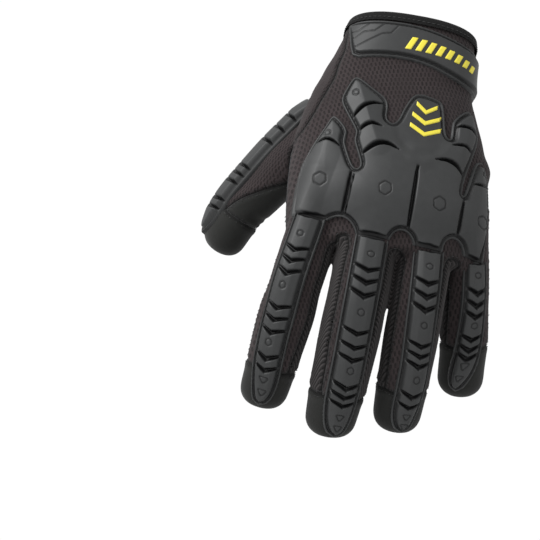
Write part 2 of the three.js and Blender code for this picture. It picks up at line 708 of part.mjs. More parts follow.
// Finger strips. The numbers are shares of the finger's length: the knuckle groove, the chevron grooves
// and the strip's end.
const STRIPS = {
  index: { knuckle: 0.195, end: 0.972, chevrons: [0.323, 0.37, 0.415, 0.547, 0.597, 0.65, 0.744, 0.787] },
  middle: { knuckle: 0.213, end: 0.975, chevrons: [0.322, 0.368, 0.411, 0.541, 0.597, 0.645, 0.739, 0.79] },
  ring: { knuckle: 0.24, end: 0.97, chevrons: [0.353, 0.398, 0.44, 0.579, 0.621, 0.661, 0.769, 0.815] },
  little: { knuckle: 0.3, end: 0.93, chevrons: [0.421, 0.471, 0.517, 0.63, 0.677, 0.714] },
};
const CHEVRON_DEPTH = 2.4; // how far a chevron's point runs ahead of its arms
const KNUCKLE_REACH = 6; // how far a strip runs up under the knuckle plate
const STRIP_ROWS = 8;
const TAPER_LENGTH = 26; // over which a strip narrows to its rounded end
const TAPER_POWER = 2.6;
const TAPER_LEAST = 0.03; // of a strip's width, squared, at its very end

// Half the width of a strip, flange included.
function stripHalf(digit, at, end, width) {
  const scale = Math.min(1, (read(digit.profile, "at", at, "halfWidth") * 2) / FINGER_WIDTH);
  const left = clamp01((end - at) / TAPER_LENGTH);
  const taper = Math.max(TAPER_LEAST, 1 - (1 - left) ** TAPER_POWER);
  return (width / 2) * scale * Math.sqrt(taper);
}

function digitStrip(digit, from, end, width, grooves, shoulder, crown, chevron) {
  const rows = guardRows(steps(from, end, STRIP_ROWS), grooves);
  const grid = (isTop) =>
    rows.map((row) => {
      const half = stripHalf(digit, row.at, end, width);
      return guardColumns(half).map((side, column) => {
        const ahead = chevron * (1 - Math.abs(side)) * clamp01((end - row.at) / TAPER_LENGTH);
        const lift = isTop ? guardLift(row, column, shoulder, crown) : BURIED;
        return stripPoint(digit, row.at + ahead, half * side, lift);
      });
    });
  return solidOf(slab(grid(true), grid(false)));
}

function fingerStrip(finger) {
  const { knuckle, end, chevrons } = STRIPS[finger.name];
  const start = knuckle * finger.length;
  const grooves = [start, ...chevrons.map((share) => share * finger.length)];
  const stop = end * finger.length;
  const [shoulder, crown] = [STRIP_LIFT, STRIP_LIFT + STRIP_RIDGE];
  const from = start - KNUCKLE_REACH;
  return digitStrip(finger, from, stop, STRIP_WIDTH, grooves, shoulder, crown, CHEVRON_DEPTH);
}

function backGuard() {
  const plates = RAYS.map((ray) => handPlate(ray.rows, ray.grooves, PLATE_LIFT, PLATE_LIFT + CROWN_LIFT));
  const badge = handPlate(BADGE_ROWS, [], BADGE_LIFT, BADGE_LIFT);
  return mainBody(join([...plates, badge, ...fingers.map(fingerStrip)]).subtract(clearOuter));
}

// Thumb guard: starts and ends as shares of the thumb's length
const THUMB_GUARD = { from: 0.2, end: 0.93, cuts: [0.33, 0.42, 0.51, 0.64, 0.69, 0.74, 0.83] };
const THUMB_STRIP_WIDTH = 20;
const THUMB_STRIP_LIFT = 4;

function thumbGuard() {
  const from = THUMB_GUARD.from * thumb.length;
  const end = THUMB_GUARD.end * thumb.length;
  const cuts = THUMB_GUARD.cuts.map((share) => share * thumb.length);
  const crown = THUMB_STRIP_LIFT + STRIP_RIDGE;
  const strip = digitStrip(thumb, from, end, THUMB_STRIP_WIDTH, cuts, THUMB_STRIP_LIFT, crown, 0);
  return mainBody(strip.subtract(clearOuter));
}

// Closure tab round the wrist. turn: degrees as in handPoint. top and bottom: shares of TAB_HEIGHT
// below TAB_DROP.
const TAB_ROWS = [
  { turn: 142, top: 0.02, bottom: 0.24 },
  { turn: 134, top: 0, bottom: 0.72 },
  { turn: 124, top: 0, bottom: 1.08 },
  { turn: 107, top: 0, bottom: 0.98 },
  { turn: 90, top: 0, bottom: 0.95 },
  { turn: 75, top: 0.07, bottom: 1.02 },
  { turn: 60, top: 0.14, bottom: 1.13 },
  { turn: 40, top: 0.18, bottom: 1.2 },
  { turn: 20, top: 0.18, bottom: 1.2 },
  { turn: 0, top: 0.16, bottom: 1.14 },
  { turn: -22, top: 0.14, bottom: 1.08 },
  { turn: -38, top: 0.2, bottom: 0.95 },
];
const TAB_COLUMNS = [0, 0.12, 0.17, 0.5, 0.83, 0.88, 1];
const TAB_PROFILE = [FLANGE_LIFT, FLANGE_LIFT, TAB_LIFT, TAB_LIFT, TAB_LIFT, FLANGE_LIFT, FLANGE_LIFT];

function wristTab() {
  const grid = (liftOf) =>
    TAB_ROWS.map((row, r) =>
      TAB_COLUMNS.map((share, i) => {
        const z = -TAB_DROP - mix(row.top, row.bottom, share) * TAB_HEIGHT;
        const isEnd = r === 0 || r === TAB_ROWS.length - 1;
        const lift = isEnd ? Math.min(FLANGE_LIFT, liftOf(i)) : liftOf(i);
        return handPoint(degrees(row.turn), z, GAP + lift);
      }),
    );
  const raw = solidOf(slab(grid((i) => TAB_PROFILE[i]), grid(() => BURIED)));
  return mainBody(raw.subtract(clearOuter));
}

function cuffBinding() {
  const band = handBody(BINDING_LIFT).subtract(handBody(-WALL - BINDING_LIFT));
  const slot = handBody(GAP).subtract(handBody(-WALL - GAP)).intersect(below(GAP - RIM_SEAT));
  return band.subtract(above(0)).subtract(below(-BINDING_HEIGHT)).subtract(slot);
}

const PULL_TURN = degrees(-90); // the middle of the palm side
const PULL_OVERLAP = 1; // the pull tab starts this far up over the binding
const PULL_ROWS = 4;

function pullTab() {
  const point = (side, z, grow) => {
    const base = handPoint(PULL_TURN, z, grow);
    return base.setX(base.x + (side * PULL_WIDTH) / 2);
  };
  const top = PULL_OVERLAP - BINDING_HEIGHT;
  const row = (z, grow) => [-1, 0, 1].map((side) => point(side, z, grow));
  const grid = (grow) => steps(top, top - PULL_LENGTH, PULL_ROWS).map((z) => row(z, grow));
  const lift = BINDING_LIFT + GAP;
  return solidOf(slab(grid(lift + PULL_THICKNESS), grid(lift)));
}

const RUBBER = { color: 0x505252, roughness: 0.55, metalness: 0 };
const MESH_CLOTH = { color: 0x3c3434, roughness: 0.95, metalness: 0 };
const RIBBED_CLOTH = { color: 0x1d1c1d, roughness: 0.9, metalness: 0 };
const SUEDE = { color: 0x2a2c32, roughness: 0.9, metalness: 0 };
const BINDING_CLOTH = { color: 0x1f1f20, roughness: 0.85, metalness: 0 };

const group = new THREE.Group();
group.name = "impact_glove";

function addPiece(name, solid, look) {
  const mesh = new THREE.Mesh(geometryOf(mainBody(solid)), new THREE.MeshStandardMaterial(look));
  mesh.name = name;
  group.add(mesh);
}

function panelLook(name) {
  if (name.startsWith("fourchette")) return RIBBED_CLOTH;
  return name.includes("back") ? MESH_CLOTH : SUEDE;
}

for (const [name, solid] of Object.entries(clothPanels())) {
  addPiece(name, solid, panelLook(name));
}
addPiece("back_guard", backGuard(), RUBBER);
addPiece("thumb_guard", thumbGuard(), RUBBER);
addPiece("wrist_tab", wristTab(), RUBBER);
addPiece("cuff_binding", cuffBinding(), BINDING_CLOTH);
addPiece("pull_tab", pullTab(), BINDING_CLOTH);

export default group;
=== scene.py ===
"""Impact glove, left hand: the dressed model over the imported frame. Lengths are millimetres until a
mesh is made; fingers point along -Z, the back of the hand faces -Y and the thumb is towards -X."""

import math

import bpy
import numpy as np
from mathutils import Matrix, Vector, kdtree


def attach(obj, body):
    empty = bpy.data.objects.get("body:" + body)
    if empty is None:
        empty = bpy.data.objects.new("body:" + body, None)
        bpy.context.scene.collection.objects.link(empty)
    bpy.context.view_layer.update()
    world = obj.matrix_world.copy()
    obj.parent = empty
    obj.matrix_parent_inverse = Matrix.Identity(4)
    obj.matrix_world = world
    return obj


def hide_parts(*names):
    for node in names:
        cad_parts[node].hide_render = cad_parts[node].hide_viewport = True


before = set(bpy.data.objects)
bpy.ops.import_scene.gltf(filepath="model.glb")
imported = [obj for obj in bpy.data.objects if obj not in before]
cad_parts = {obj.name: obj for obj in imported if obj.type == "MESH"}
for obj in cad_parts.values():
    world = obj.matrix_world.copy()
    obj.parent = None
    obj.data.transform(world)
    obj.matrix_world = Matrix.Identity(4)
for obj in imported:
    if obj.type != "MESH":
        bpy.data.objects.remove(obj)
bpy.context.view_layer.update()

MM = 0.001
LEAST_LENGTH = 1e-9

# Driving sizes of the hand and the digits, as in the part
PALM_LENGTH = 128
KNUCKLE_WIDTH = 108
WRIST_WIDTH = 69.6
WRIST_DEPTH = 55
WEB_DEPTH = 25
ARCH_HEIGHT = 12
WALL = 2
FINGER_WIDTH = 30
FINGER_DEPTH = 27
TIP_ROUND = 11.5
HAND_POWER = 2.5
DIGIT_POWER = 2.2
CAP_POWER = 2.4
CAP_LEAST = 0.02
ARCH_LEVEL = 0.3
BEND_REACH = 11
WEB_ROUND = 3.5
GAP = 0.3

# Sections of the hand. drop: of PALM_LENGTH. shift: of KNUCKLE_WIDTH. spread: 0 at WRIST_WIDTH, 1 at
# KNUCKLE_WIDTH. thin: 0 at WRIST_DEPTH, 1 at WEB_DEPTH. back: of WRIST_DEPTH. arch: of ARCH_HEIGHT.
HAND_COLUMNS = ("drop", "shift", "spread", "thin", "back", "arch")
HAND_SECTIONS = (
    (0, 0.005, 0, 0, 0, 0),
    (0.063, 0, 0.05, 0, 0, 0),
    (0.188, -0.023, 0.2, 0, 0, 0.04),
    (0.313, -0.037, 0.45, 0.03, 0, 0.17),
    (0.469, -0.019, 0.82, 0.1, 0.018, 0.33),
    (0.68, 0.005, 0.99, 0.23, 0.073, 0.67),
    (0.828, 0.014, 1.01, 0.43, 0.118, 0.92),
    (0.922, 0.019, 0.95, 0.7, 0.1, 1),
    (1, 0.023, 0.84, 1, 0.073, 1),
)

# Digits. across: of KNUCKLE_WIDTH. back: of WRIST_DEPTH. drop: of PALM_LENGTH. middle, tip and seam:
# joints and fingertip seam as shares of the length. widths, depths and turns: at the root, both joints
# and the rounded end.
FINGERS = (
    dict(name="index", length=128, across=-0.296, back=0.173, drop=0.754, lean=-7.5,
         bends=(10, 12, 12), middle=0.453, tip=0.742, seam=0.81,
         widths=(0.94, 1, 0.94, 0.84), depths=(1, 1, 0.926, 0.852), turns=(-9, -18, -12, 2)),
    dict(name="middle", length=136, across=-0.042, back=0.236, drop=0.77, lean=-2,
         bends=(10, 14, 14), middle=0.441, tip=0.728, seam=0.81,
         widths=(0.95, 1.07, 1.04, 0.907), depths=(1.02, 1.02, 0.963, 0.874), turns=(2, 8, 12, 12)),
    dict(name="ring", length=129, across=0.231, back=0.173, drop=0.754, lean=0.5,
         bends=(11, 16, 16), middle=0.442, tip=0.736, seam=0.79,
         widths=(0.92, 0.96, 0.94, 0.853), depths=(1, 1, 0.926, 0.852), turns=(-3, 12, 20, 12)),
    dict(name="little", length=103, across=0.416, back=-0.02, drop=0.738, lean=8.5,
         bends=(14, 16, 16), middle=0.485, tip=0.738, seam=0.7,
         widths=(0.75, 0.82, 0.86, 0.84), depths=(0.926, 0.926, 0.889, 0.852), turns=(12, 15, 3, -18)),
)
THUMB = dict(name="thumb", length=117, across=-0.185, back=-0.145, drop=0.305,
             along=(-0.64, 0.36, -0.72), facing=(-0.8, -0.42, 0.44),
             bends=(-2, 6, 12), middle=0.47, tip=0.76, seam=0.8,
             widths=(1.27, 1.2, 1.08, 0.96), depths=(1.48, 1.11, 0.963, 0.889), turns=(0, 0, 0, 0))


def mix(a, b, share):
    return a + (b - a) * share


def step(value, low, high):
    """0 below low, 1 above high, and a smooth rise between them."""
    share = np.clip((value - low) / (high - low), 0, 1)
    return share * share * (3 - 2 * share)


def signed_power(value, power):
    return np.sign(value) * np.abs(value) ** power


def bell(value, centre, width):
    return np.exp(-((value - centre) / width) ** 2)


def unit(vector):
    return vector / max(np.linalg.norm(vector), LEAST_LENGTH)


def unit_rows(vectors):
    return vectors / np.maximum(np.linalg.norm(vectors, axis=-1, keepdims=True), LEAST_LENGTH)


def sampled(at, stops, rows):
    """Rows read between their stops."""
    return np.stack([np.interp(at, stops, column) for column in rows.T], -1)


def blurred(values, width):
    """A running mean taken twice, over an odd number of samples."""
    kernel = np.ones(width) / width
    for _ in range(2):
        values = np.convolve(np.pad(values, width // 2, mode="edge"), kernel, mode="valid")
    return values


def lengths_along(line):
    """The length of a line of points from its start to each of them."""
    return np.concatenate([[0], np.cumsum(np.linalg.norm(np.diff(line, axis=0), axis=1))])


# The hand as a smooth surface
HAND_STEP = 0.5
HAND_BLUR = 21
HAND_DROPS = np.arange(0, PALM_LENGTH + HAND_STEP, HAND_STEP)


def hand_table():
    rows = np.array(HAND_SECTIONS)
    raw = {name: np.interp(HAND_DROPS / PALM_LENGTH, rows[:, 0], rows[:, i])
           for i, name in enumerate(HAND_COLUMNS)}
    table = {
        "x": raw["shift"] * KNUCKLE_WIDTH,
        "y": -raw["back"] * WRIST_DEPTH,
        "half_width": mix(WRIST_WIDTH, KNUCKLE_WIDTH, raw["spread"]) / 2,
        "half_depth": mix(WRIST_DEPTH, WEB_DEPTH, raw["thin"]) / 2,
        "arch": raw["arch"] * ARCH_HEIGHT,
    }
    return {name: blurred(values, HAND_BLUR) for name, values in table.items()}


HAND = hand_table()


def hand_section(z):
    return {name: np.interp(-np.asarray(z, float), HAND_DROPS, values) for name, values in HAND.items()}


def hand_point(turn, z, grow=0.0):
    """A point of the hand's surface. turn, in radians, runs from the little finger's side over the back."""
    section = hand_section(z)
    across = signed_power(np.cos(turn), 2 / HAND_POWER)
    out = signed_power(np.sin(turn), 2 / HAND_POWER)
    bow = section["arch"] * (across * across - ARCH_LEVEL)
    x = section["x"] + (section["half_width"] + grow) * across
    y = section["y"] - (section["half_depth"] + grow) * out + bow
    return np.stack(np.broadcast_arrays(x, y, z), -1)


class Digit:
    """A finger or the thumb: a bent tube with stations along it."""

    STATIONS = 120
    PROFILE_BLUR = 17

    def __init__(self, spec):
        self.spec = spec
        self.name = spec["name"]
        self.length = spec["length"]
        self.body = self.length - TIP_ROUND
        lean = math.radians(spec.get("lean", 0))
        along = unit(np.array(spec.get("along", (math.sin(lean), 0, -math.cos(lean)))))
        facing = np.array(spec.get("facing", (0, -1, 0)), float)
        facing = unit(facing - facing.dot(along) * along)
        self.side = np.cross(facing, along)
        self.at = np.linspace(0, self.body, self.STATIONS + 1)
        joints = np.array([spec["middle"], spec["tip"]]) * self.length
        bend = np.full_like(self.at, spec["bends"][0])
        for joint, angle in zip(joints, spec["bends"][1:]):
            bend = bend + angle * step(self.at, joint - BEND_REACH, joint + BEND_REACH)
        cos, sin = np.cos(np.radians(bend))[:, None], np.sin(np.radians(bend))[:, None]
        self.forward = cos * along - sin * facing
        self.outward = sin * along + cos * facing
        root = (spec["across"] * KNUCKLE_WIDTH, -spec["back"] * WRIST_DEPTH, -spec["drop"] * PALM_LENGTH)
        self.place = np.zeros((len(self.at), 3))
        self.place[1:] = np.cumsum(self.forward[1:] * self.at[1], axis=0)
        self.place += np.array(root)
        stops = (0, *joints, self.body)
        self.half_width = self.profile(stops, spec["widths"], FINGER_WIDTH / 2)
        self.half_depth = self.profile(stops, spec["depths"], FINGER_DEPTH / 2)
        self.turn = self.profile(stops, spec["turns"], math.radians(1))

    def profile(self, stops, shares, size):
        return blurred(np.interp(self.at, stops, np.array(shares) * size), self.PROFILE_BLUR)

    def read(self, at, values):
        return np.interp(at, self.at, values)

    def frame_at(self, at):
        at = np.asarray(at, float)
        directions = (self.place, self.forward, self.outward)
        place, forward, outward = (sampled(at, self.at, rows) for rows in directions)
        past = np.maximum(0, at - self.body) + np.minimum(0, at)
        return place + forward * past[..., None], forward, outward

    def point(self, at, turn, grow=0.0):
        """A point of the digit's surface; turn 0 is the middle of its back."""
        rounding = np.clip((at - self.body) / (TIP_ROUND + grow), 0, 1)
        shrink = np.maximum(CAP_LEAST, (1 - rounding ** CAP_POWER) ** (1 / CAP_POWER))
        power = 2 / DIGIT_POWER
        across = (self.read(at, self.half_width) + grow) * shrink * signed_power(np.sin(turn), power)
        out = (self.read(at, self.half_depth) + grow) * shrink * signed_power(np.cos(turn), power)
        place, _, outward = self.frame_at(at)
        return place + across[..., None] * self.side + out[..., None] * outward

    def strip_point(self, around, at, lift):
        """The same with a length round from the middle of the guard strip instead of an angle."""
        radius = (self.read(at, self.half_width) + self.read(at, self.half_depth)) / 2
        radius = radius + np.maximum(0, lift)
        return self.point(at, self.read(at, self.turn) + around / radius, lift)

    def locate(self, points):
        """For points in space: length along, places across and out, and 1 on the surface."""
        nearest = np.zeros(len(points), int)
        best = np.full(len(points), np.inf)
        for i, place in enumerate(self.place):
            distance = ((points - place) ** 2).sum(1)
            closer = distance < best
            nearest[closer] = i
            best[closer] = distance[closer]
        offset = points - self.place[nearest]
        along = (offset * self.forward[nearest]).sum(1)
        at = self.at[nearest] + along
        across = offset @ self.side
        out = (offset * self.outward[nearest]).sum(1)
        reach = (np.abs(across / self.read(at, self.half_width)) ** DIGIT_POWER
                 + np.abs(out / self.read(at, self.half_depth)) ** DIGIT_POWER) ** (1 / DIGIT_POWER)
        past = np.maximum(0, at - self.body) / TIP_ROUND
        return at, across, out, (reach ** CAP_POWER + past ** CAP_POWER) ** (1 / CAP_POWER)


fingers = [Digit(spec) for spec in FINGERS]
thumb = Digit(THUMB)
digits = [*fingers, thumb]

# The back of the hand as a height over x and z
BLEND = 0.8
KNUCKLE_FADE = 0.25
EDGE_SHARE = 0.97
SLOPE_STEP = 0.5
NOWHERE = 1e3


def finger_length_at(finger, z):
    """Length along a finger where its straight first part passes the height z."""
    return (-z - finger.spec["drop"] * PALM_LENGTH) / math.cos(math.radians(finger.spec["bends"][0]))


def finger_height(finger, x, z):
    at = finger_length_at(finger, z)
    place, _, _ = finger.frame_at(np.maximum(0, at))
    share = np.abs(x - place[..., 0]) / finger.read(at, finger.half_width)
    rise = np.maximum(0, 1 - share ** DIGIT_POWER) ** (1 / DIGIT_POWER) * finger.read(at, finger.half_depth)
    height = place[..., 1] - rise + np.maximum(0, -at) * KNUCKLE_FADE
    return np.where(share < 1, height, NOWHERE)


def back_height(x, z):
    section = hand_section(z)
    share = np.minimum(EDGE_SHARE, np.abs(x - section["x"]) / section["half_width"])
    rise = (1 - share ** HAND_POWER) ** (1 / HAND_POWER) * section["half_depth"]
    hand = section["y"] - rise + section["arch"] * (share * share - ARCH_LEVEL)
    heights = [hand, *(finger_height(finger, x, z) for finger in fingers)]
    total = sum(np.exp(-BLEND * (height - hand)) for height in heights)
    return hand - np.log(total) / BLEND


def back_point(x, z, lift):
    y = back_height(x, z)
    slope_x = (back_height(x + SLOPE_STEP, z) - back_height(x - SLOPE_STEP, z)) / (2 * SLOPE_STEP)
    slope_z = (back_height(x, z + SLOPE_STEP) - back_height(x, z - SLOPE_STEP)) / (2 * SLOPE_STEP)
    normal = unit_rows(np.stack([slope_x, -np.ones_like(slope_x), slope_z], -1))
    return np.stack([x, y, z], -1) + normal * np.asarray(lift)[..., None]


# Meshes
def as_lists(faces):
    return faces.tolist() if isinstance(faces, np.ndarray) else faces


def mesh_of(name, points, faces, masks):
    """A mesh in metres that carries its masks as attributes."""
    mesh = bpy.data.meshes.new(name)
    mesh.from_pydata((np.asarray(points) * MM).tolist(), [], as_lists(faces))
    for mask, values in masks.items():
        mesh.attributes.new(mask, "FLOAT", "POINT").data.foreach_set("value", np.asarray(values, "f"))
    return mesh


def add_object(name, data):
    made = bpy.data.objects.new(name, data)
    bpy.context.scene.collection.objects.link(made)
    return made


def make_piece(name, points, faces, material, slot, replaced=(), masks=None):
    """A smooth-shaded object that rides on the glove's one body."""
    mesh = mesh_of(name, points, faces, masks or {})
    mesh.polygons.foreach_set("use_smooth", [True] * len(mesh.polygons))
    mesh.validate()
    mesh.materials.append(material)
    piece = add_object(name, mesh)
    if replaced:
        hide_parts(*replaced)
    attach(piece, "root")
    return piece


def evaluated(points, faces, masks, add_modifier):
    """Points, faces and masks of a mesh after one modifier, in millimetres."""
    mesh = mesh_of("working", points, faces, masks)
    working = add_object("working", mesh)
    add_modifier(working)
    result = working.evaluated_get(bpy.context.evaluated_depsgraph_get()).to_mesh()
    coordinates = np.zeros(len(result.vertices) * 3, "f")
    result.vertices.foreach_get("co", coordinates)
    corners = np.zeros(len(result.polygons) * 4, "i")
    result.polygons.foreach_get("vertices", corners)
    kept = {}
    for mask in masks:
        kept[mask] = np.zeros(len(result.vertices), "f")
        result.attributes[mask].data.foreach_get("value", kept[mask])
    bpy.data.objects.remove(working)
    bpy.data.meshes.remove(mesh)
    return coordinates.reshape(-1, 3).astype(float) / MM, corners.reshape(-1, 4), kept


def loft(rings, closed_ends=True):
    """Points and faces of a tube through rings of equal length."""
    rings = np.asarray(rings)
    rows, sides, _ = rings.shape
    index = np.arange(rows * sides).reshape(rows, sides)
    following = np.roll(index, -1, axis=1)
    quads = np.stack([index[:-1], following[:-1], following[1:], index[1:]], -1).reshape(-1, 4).tolist()
    if closed_ends:
        quads += [index[0][::-1].tolist(), index[-1].tolist()]
    return rings.reshape(-1, 3), quads


def joined(parts):
    """Several (points, faces) pairs as one."""
    points, faces, first = [], [], 0
    for part_points, part_faces in parts:
        points.append(part_points)
        faces += [[corner + first for corner in face] for face in part_faces]
        first += len(part_points)
    return np.concatenate(points), faces


def vertex_normals(points, quads):
    a, b, c, d = (points[quads[:, corner]] for corner in range(4))
    diagonal = np.cross(c - a, d - b)
    normals = np.zeros_like(points)
    for corner in range(4):
        np.add.at(normals, quads[:, corner], diagonal)
    return unit_rows(normals)


# Outlines and lines in a flat plane
def rounded(outline, times=2):
    """A closed outline with its corners cut, each time at a quarter of its sides."""
    outline = np.asarray(outline, float)
    for _ in range(times):
        following = np.roll(outline, -1, axis=0)
        outline = np.stack([mix(outline, following, 0.25), mix(outline, following, 0.75)], 1).reshape(-1, 2)
    return outline


def nearest_on(u, v, line):
    """Distance from each place to a line of points, and how far along it that is, from 0 to 1."""
    line = np.asarray(line, float)
    starts = lengths_along(line)
    lengths = np.diff(starts)
    best = np.full(np.shape(u), np.inf)
    along = np.zeros(np.shape(u))
    for i, (a, b) in enumerate(zip(line[:-1], line[1:])):
        share = np.clip(((u - a[0]) * (b[0] - a[0]) + (v - a[1]) * (b[1] - a[1])) / lengths[i] ** 2, 0, 1)
        distance = np.hypot(u - mix(a[0], b[0], share), v - mix(a[1], b[1], share))
        closer = distance < best
        best = np.where(closer, distance, best)
        along = np.where(closer, starts[i] + share * lengths[i], along)
    return best, along / starts[-1]


def inside_distance(u, v, outline):
    """Distance to a closed outline, positive inside it."""
    closed = np.vstack([outline, outline[:1]])
    distance, _ = nearest_on(u, v, closed)
    crossings = np.zeros(np.shape(u), int)
    for (ua, va), (ub, vb) in zip(closed[:-1], closed[1:]):
        if va != vb:
            spans = (va > v) != (vb > v)
            crossings += spans & (u < ua + (v - va) * (ub - ua) / (vb - va))
    return np.where(crossings % 2 == 1, distance, -distance)


def relief_sheet(surface, outline, height, spacing):
    """A fine sheet over an outline on a surface; height gives its lift and its painted shade at each place.
    """
    low, high = outline.min(axis=0) - 2 * spacing, outline.max(axis=0) + 2 * spacing
    spans = (np.arange(low[k], high[k], spacing) for k in range(2))
    u, v = np.meshgrid(*spans, indexing="ij")
    inside = inside_distance(u, v, outline)
    lift, painted_shade = height(u, v, inside)
    points = surface(u, v, lift)
    index = np.arange(u.size).reshape(u.shape)
    corners = np.stack([index[:-1, :-1], index[:-1, 1:], index[1:, 1:], index[1:, :-1]], -1).reshape(-1, 4)
    corners = corners[(inside.ravel()[corners] > -SHEET_MARGIN).any(axis=1)]
    corners = corners[(lift.ravel()[corners] > SUNK + SUNK_MARGIN).any(axis=1)]
    points = points.reshape(-1, 3)
    if facing_down(points, corners):
        corners = corners[:, ::-1]
    used, faces = np.unique(corners, return_inverse=True)
    return points[used], faces.reshape(-1, 4), painted_shade.ravel()[used]


def facing_down(points, quads):
    """True where a sheet's faces look into the glove: away from the side that its lift goes to."""
    middle = quads[len(quads) // 2]
    normal = np.cross(points[middle[2]] - points[middle[0]], points[middle[3]] - points[middle[1]])
    centre = points[middle].mean(axis=0)
    section = np.array([0.0, 0.0, centre[2]])
    owner = min(digits, key=lambda digit: digit.locate(centre[None])[3][0])
    at, _, _, reach = owner.locate(centre[None])
    if reach[0] < ON_DIGIT:
        section = owner.frame_at(at)[0][0]
    return normal.dot(centre - section) < 0


# The moulded rubber's edge: a bead, a sewn channel inside it, and then the block's wall
SUNK = -1.5
SUNK_MARGIN = 0.05
SHEET_MARGIN = 0.8
BEAD_LIFT = 1.5
BEAD_END = 1.1
CHANNEL_LIFT = 0.6
CHANNEL_END = 2.2
WALL_WIDTH = 0.9
EDGE_WIDTH = 0.45
PLATE_LIFT = 2.8
CROWN_LIFT = 1.3
CROWN_REACH = 7
# A place whose reach is below this belongs to its nearest digit
ON_DIGIT = 1.6
STRIP_LIFT = 2.6
STRIP_RIDGE = 1
GROOVE_FLOOR = 0.5
# How strongly the sewn channel is darkened: painted shade in that recess
CHANNEL_PAINTED_SHADE = 0.8
MARK_DEPTH = 0.8
STRIP_MARK_DEPTH = 0.7
CROSS_NARROWING = 0.7
CHEVRON_NARROWING = 0.45


def rubber_edge(inside):
    """Lift of the bead and channel, how far the block's wall has risen, and the painted shade laid in the
    channel.
    """
    risen = step(inside, -EDGE_WIDTH / 2, EDGE_WIDTH)
    channel = step(inside, BEAD_END, BEAD_END + EDGE_WIDTH)
    block = step(inside, CHANNEL_END, CHANNEL_END + WALL_WIDTH)
    lift = mix(mix(SUNK, BEAD_LIFT, risen), CHANNEL_LIFT, channel)
    return lift, block, channel * (1 - block)


def groove(distance, half_width):
    """1 at a groove's bottom, 0 outside it."""
    return 1 - step(distance, 0.1 * half_width, half_width)


def shadow(cut):
    """The painted shade of a groove: nearly its full width."""
    return step(cut, 0.01, 0.25)


def tapered_groove(u, v, line, half_width, taper):
    """A groove that is widest halfway along. taper: 0 keeps its ends blunt, 1 makes them long points."""
    distance, along = nearest_on(u, v, line)
    width = half_width * np.sin(np.pi * np.clip(along, 0.04, 0.96)) ** taper
    return groove(distance, np.maximum(0.05, width))


def polygon_ring(u, v, centre, radius, sides, tilt, line_width):
    """A narrow line round a small regular polygon, with slightly rounded corners."""
    reach = 0.0
    for side in range(sides):
        angle = tilt + 2 * math.pi * side / sides
        facing = (u - centre[0]) * math.cos(angle) + (v - centre[1]) * math.sin(angle)
        reach = np.maximum(reach, facing)
    reach = np.maximum(reach, np.hypot(u - centre[0], v - centre[1]) * ROUND_CORNER[sides])
    return groove(np.abs(reach - radius), line_width)


ROUND_CORNER = {6: 0.92, 3: 0.66}
HEX_TILT = math.radians(10)

# Outline of the guard over the back of the hand: (x, z)
GUARD_OUTLINE = rounded([
    (-47.4, -131), (-47.6, -121), (-47.8, -105), (-47, -94.2), (-45.2, -88.5), (-43, -82), (-40.5, -76.5),
    (-38, -71), (-35.2, -64.2), (-30.8, -67.5), (-26, -73.8), (-26.8, -78.8), (-26.2, -81.8), (-23, -89.2),
    (-20.8, -93.5), (-18.5, -95.6), (-16.8, -93), (-19.2, -87), (-22.6, -79.2), (-22, -74.8),
    (-22.8, -72.5), (-27.8, -64.8), (-32.8, -56.2), (-31.2, -50.2), (-28.5, -43), (-26.2, -41.2),
    (-23.2, -42.5),
    (-16.2, -47.5), (-9.2, -51.8), (-7, -56.2), (-7.2, -63.5), (-5, -66), (-3, -66), (-1, -63.2),
    (0.5, -57.2), (3.5, -49.5), (6, -46.5), (10.2, -45.8), (16.2, -46.5), (20, -47.5), (21.8, -50),
    (23.5, -57.8), (25, -65.5), (26.8, -68.2), (28.2, -66.8), (27.5, -58.8), (28.5, -55), (33, -48.5),
    (35.2, -46.2), (38, -48), (42.6, -58.5), (43, -64.5), (41, -76), (38.6, -88), (38.1, -97.5),
    (39.6, -96.5), (41.4, -86.5), (42.8, -75.5), (45.6, -73), (48.6, -74), (52.4, -85), (55.4, -100),
    (56.4, -114), (56.6, -131), (45.2, -131), (44.8, -126), (42.8, -121.8), (40.2, -120), (36.8, -120),
    (33.9, -122.5), (33.2, -126), (33.2, -131), (17.8, -131), (16.6, -126.5), (13.5, -123.4), (9.5, -122.8),
    (6.8, -124.2), (5, -127.5), (4.6, -131), (-13.6, -131), (-13.9, -126.5), (-17.5, -122), (-22.8, -120.2),
    (-28.2, -121.8), (-30.8, -125.5), (-31.2, -131),
])
BADGE_OUTLINE = rounded([
    (-4, -65), (-0.4, -62.8), (3.3, -49.4), (5.8, -46), (13.8, -45.8), (20.4, -47.1), (23.2, -51.3),
    (25.2, -65.6), (26.4, -69), (22.5, -81), (14, -86.5), (4, -82), (-2, -75),
])
BADGE_LIFT = 2.2
BADGE_SLOPE = (-2.5, 3)
BULGE = {"x": 13.6, "z": -82, "radius": 10.5, "lift": 1.3, "slope": (-0.5, 7), "rise": (68, 82)}

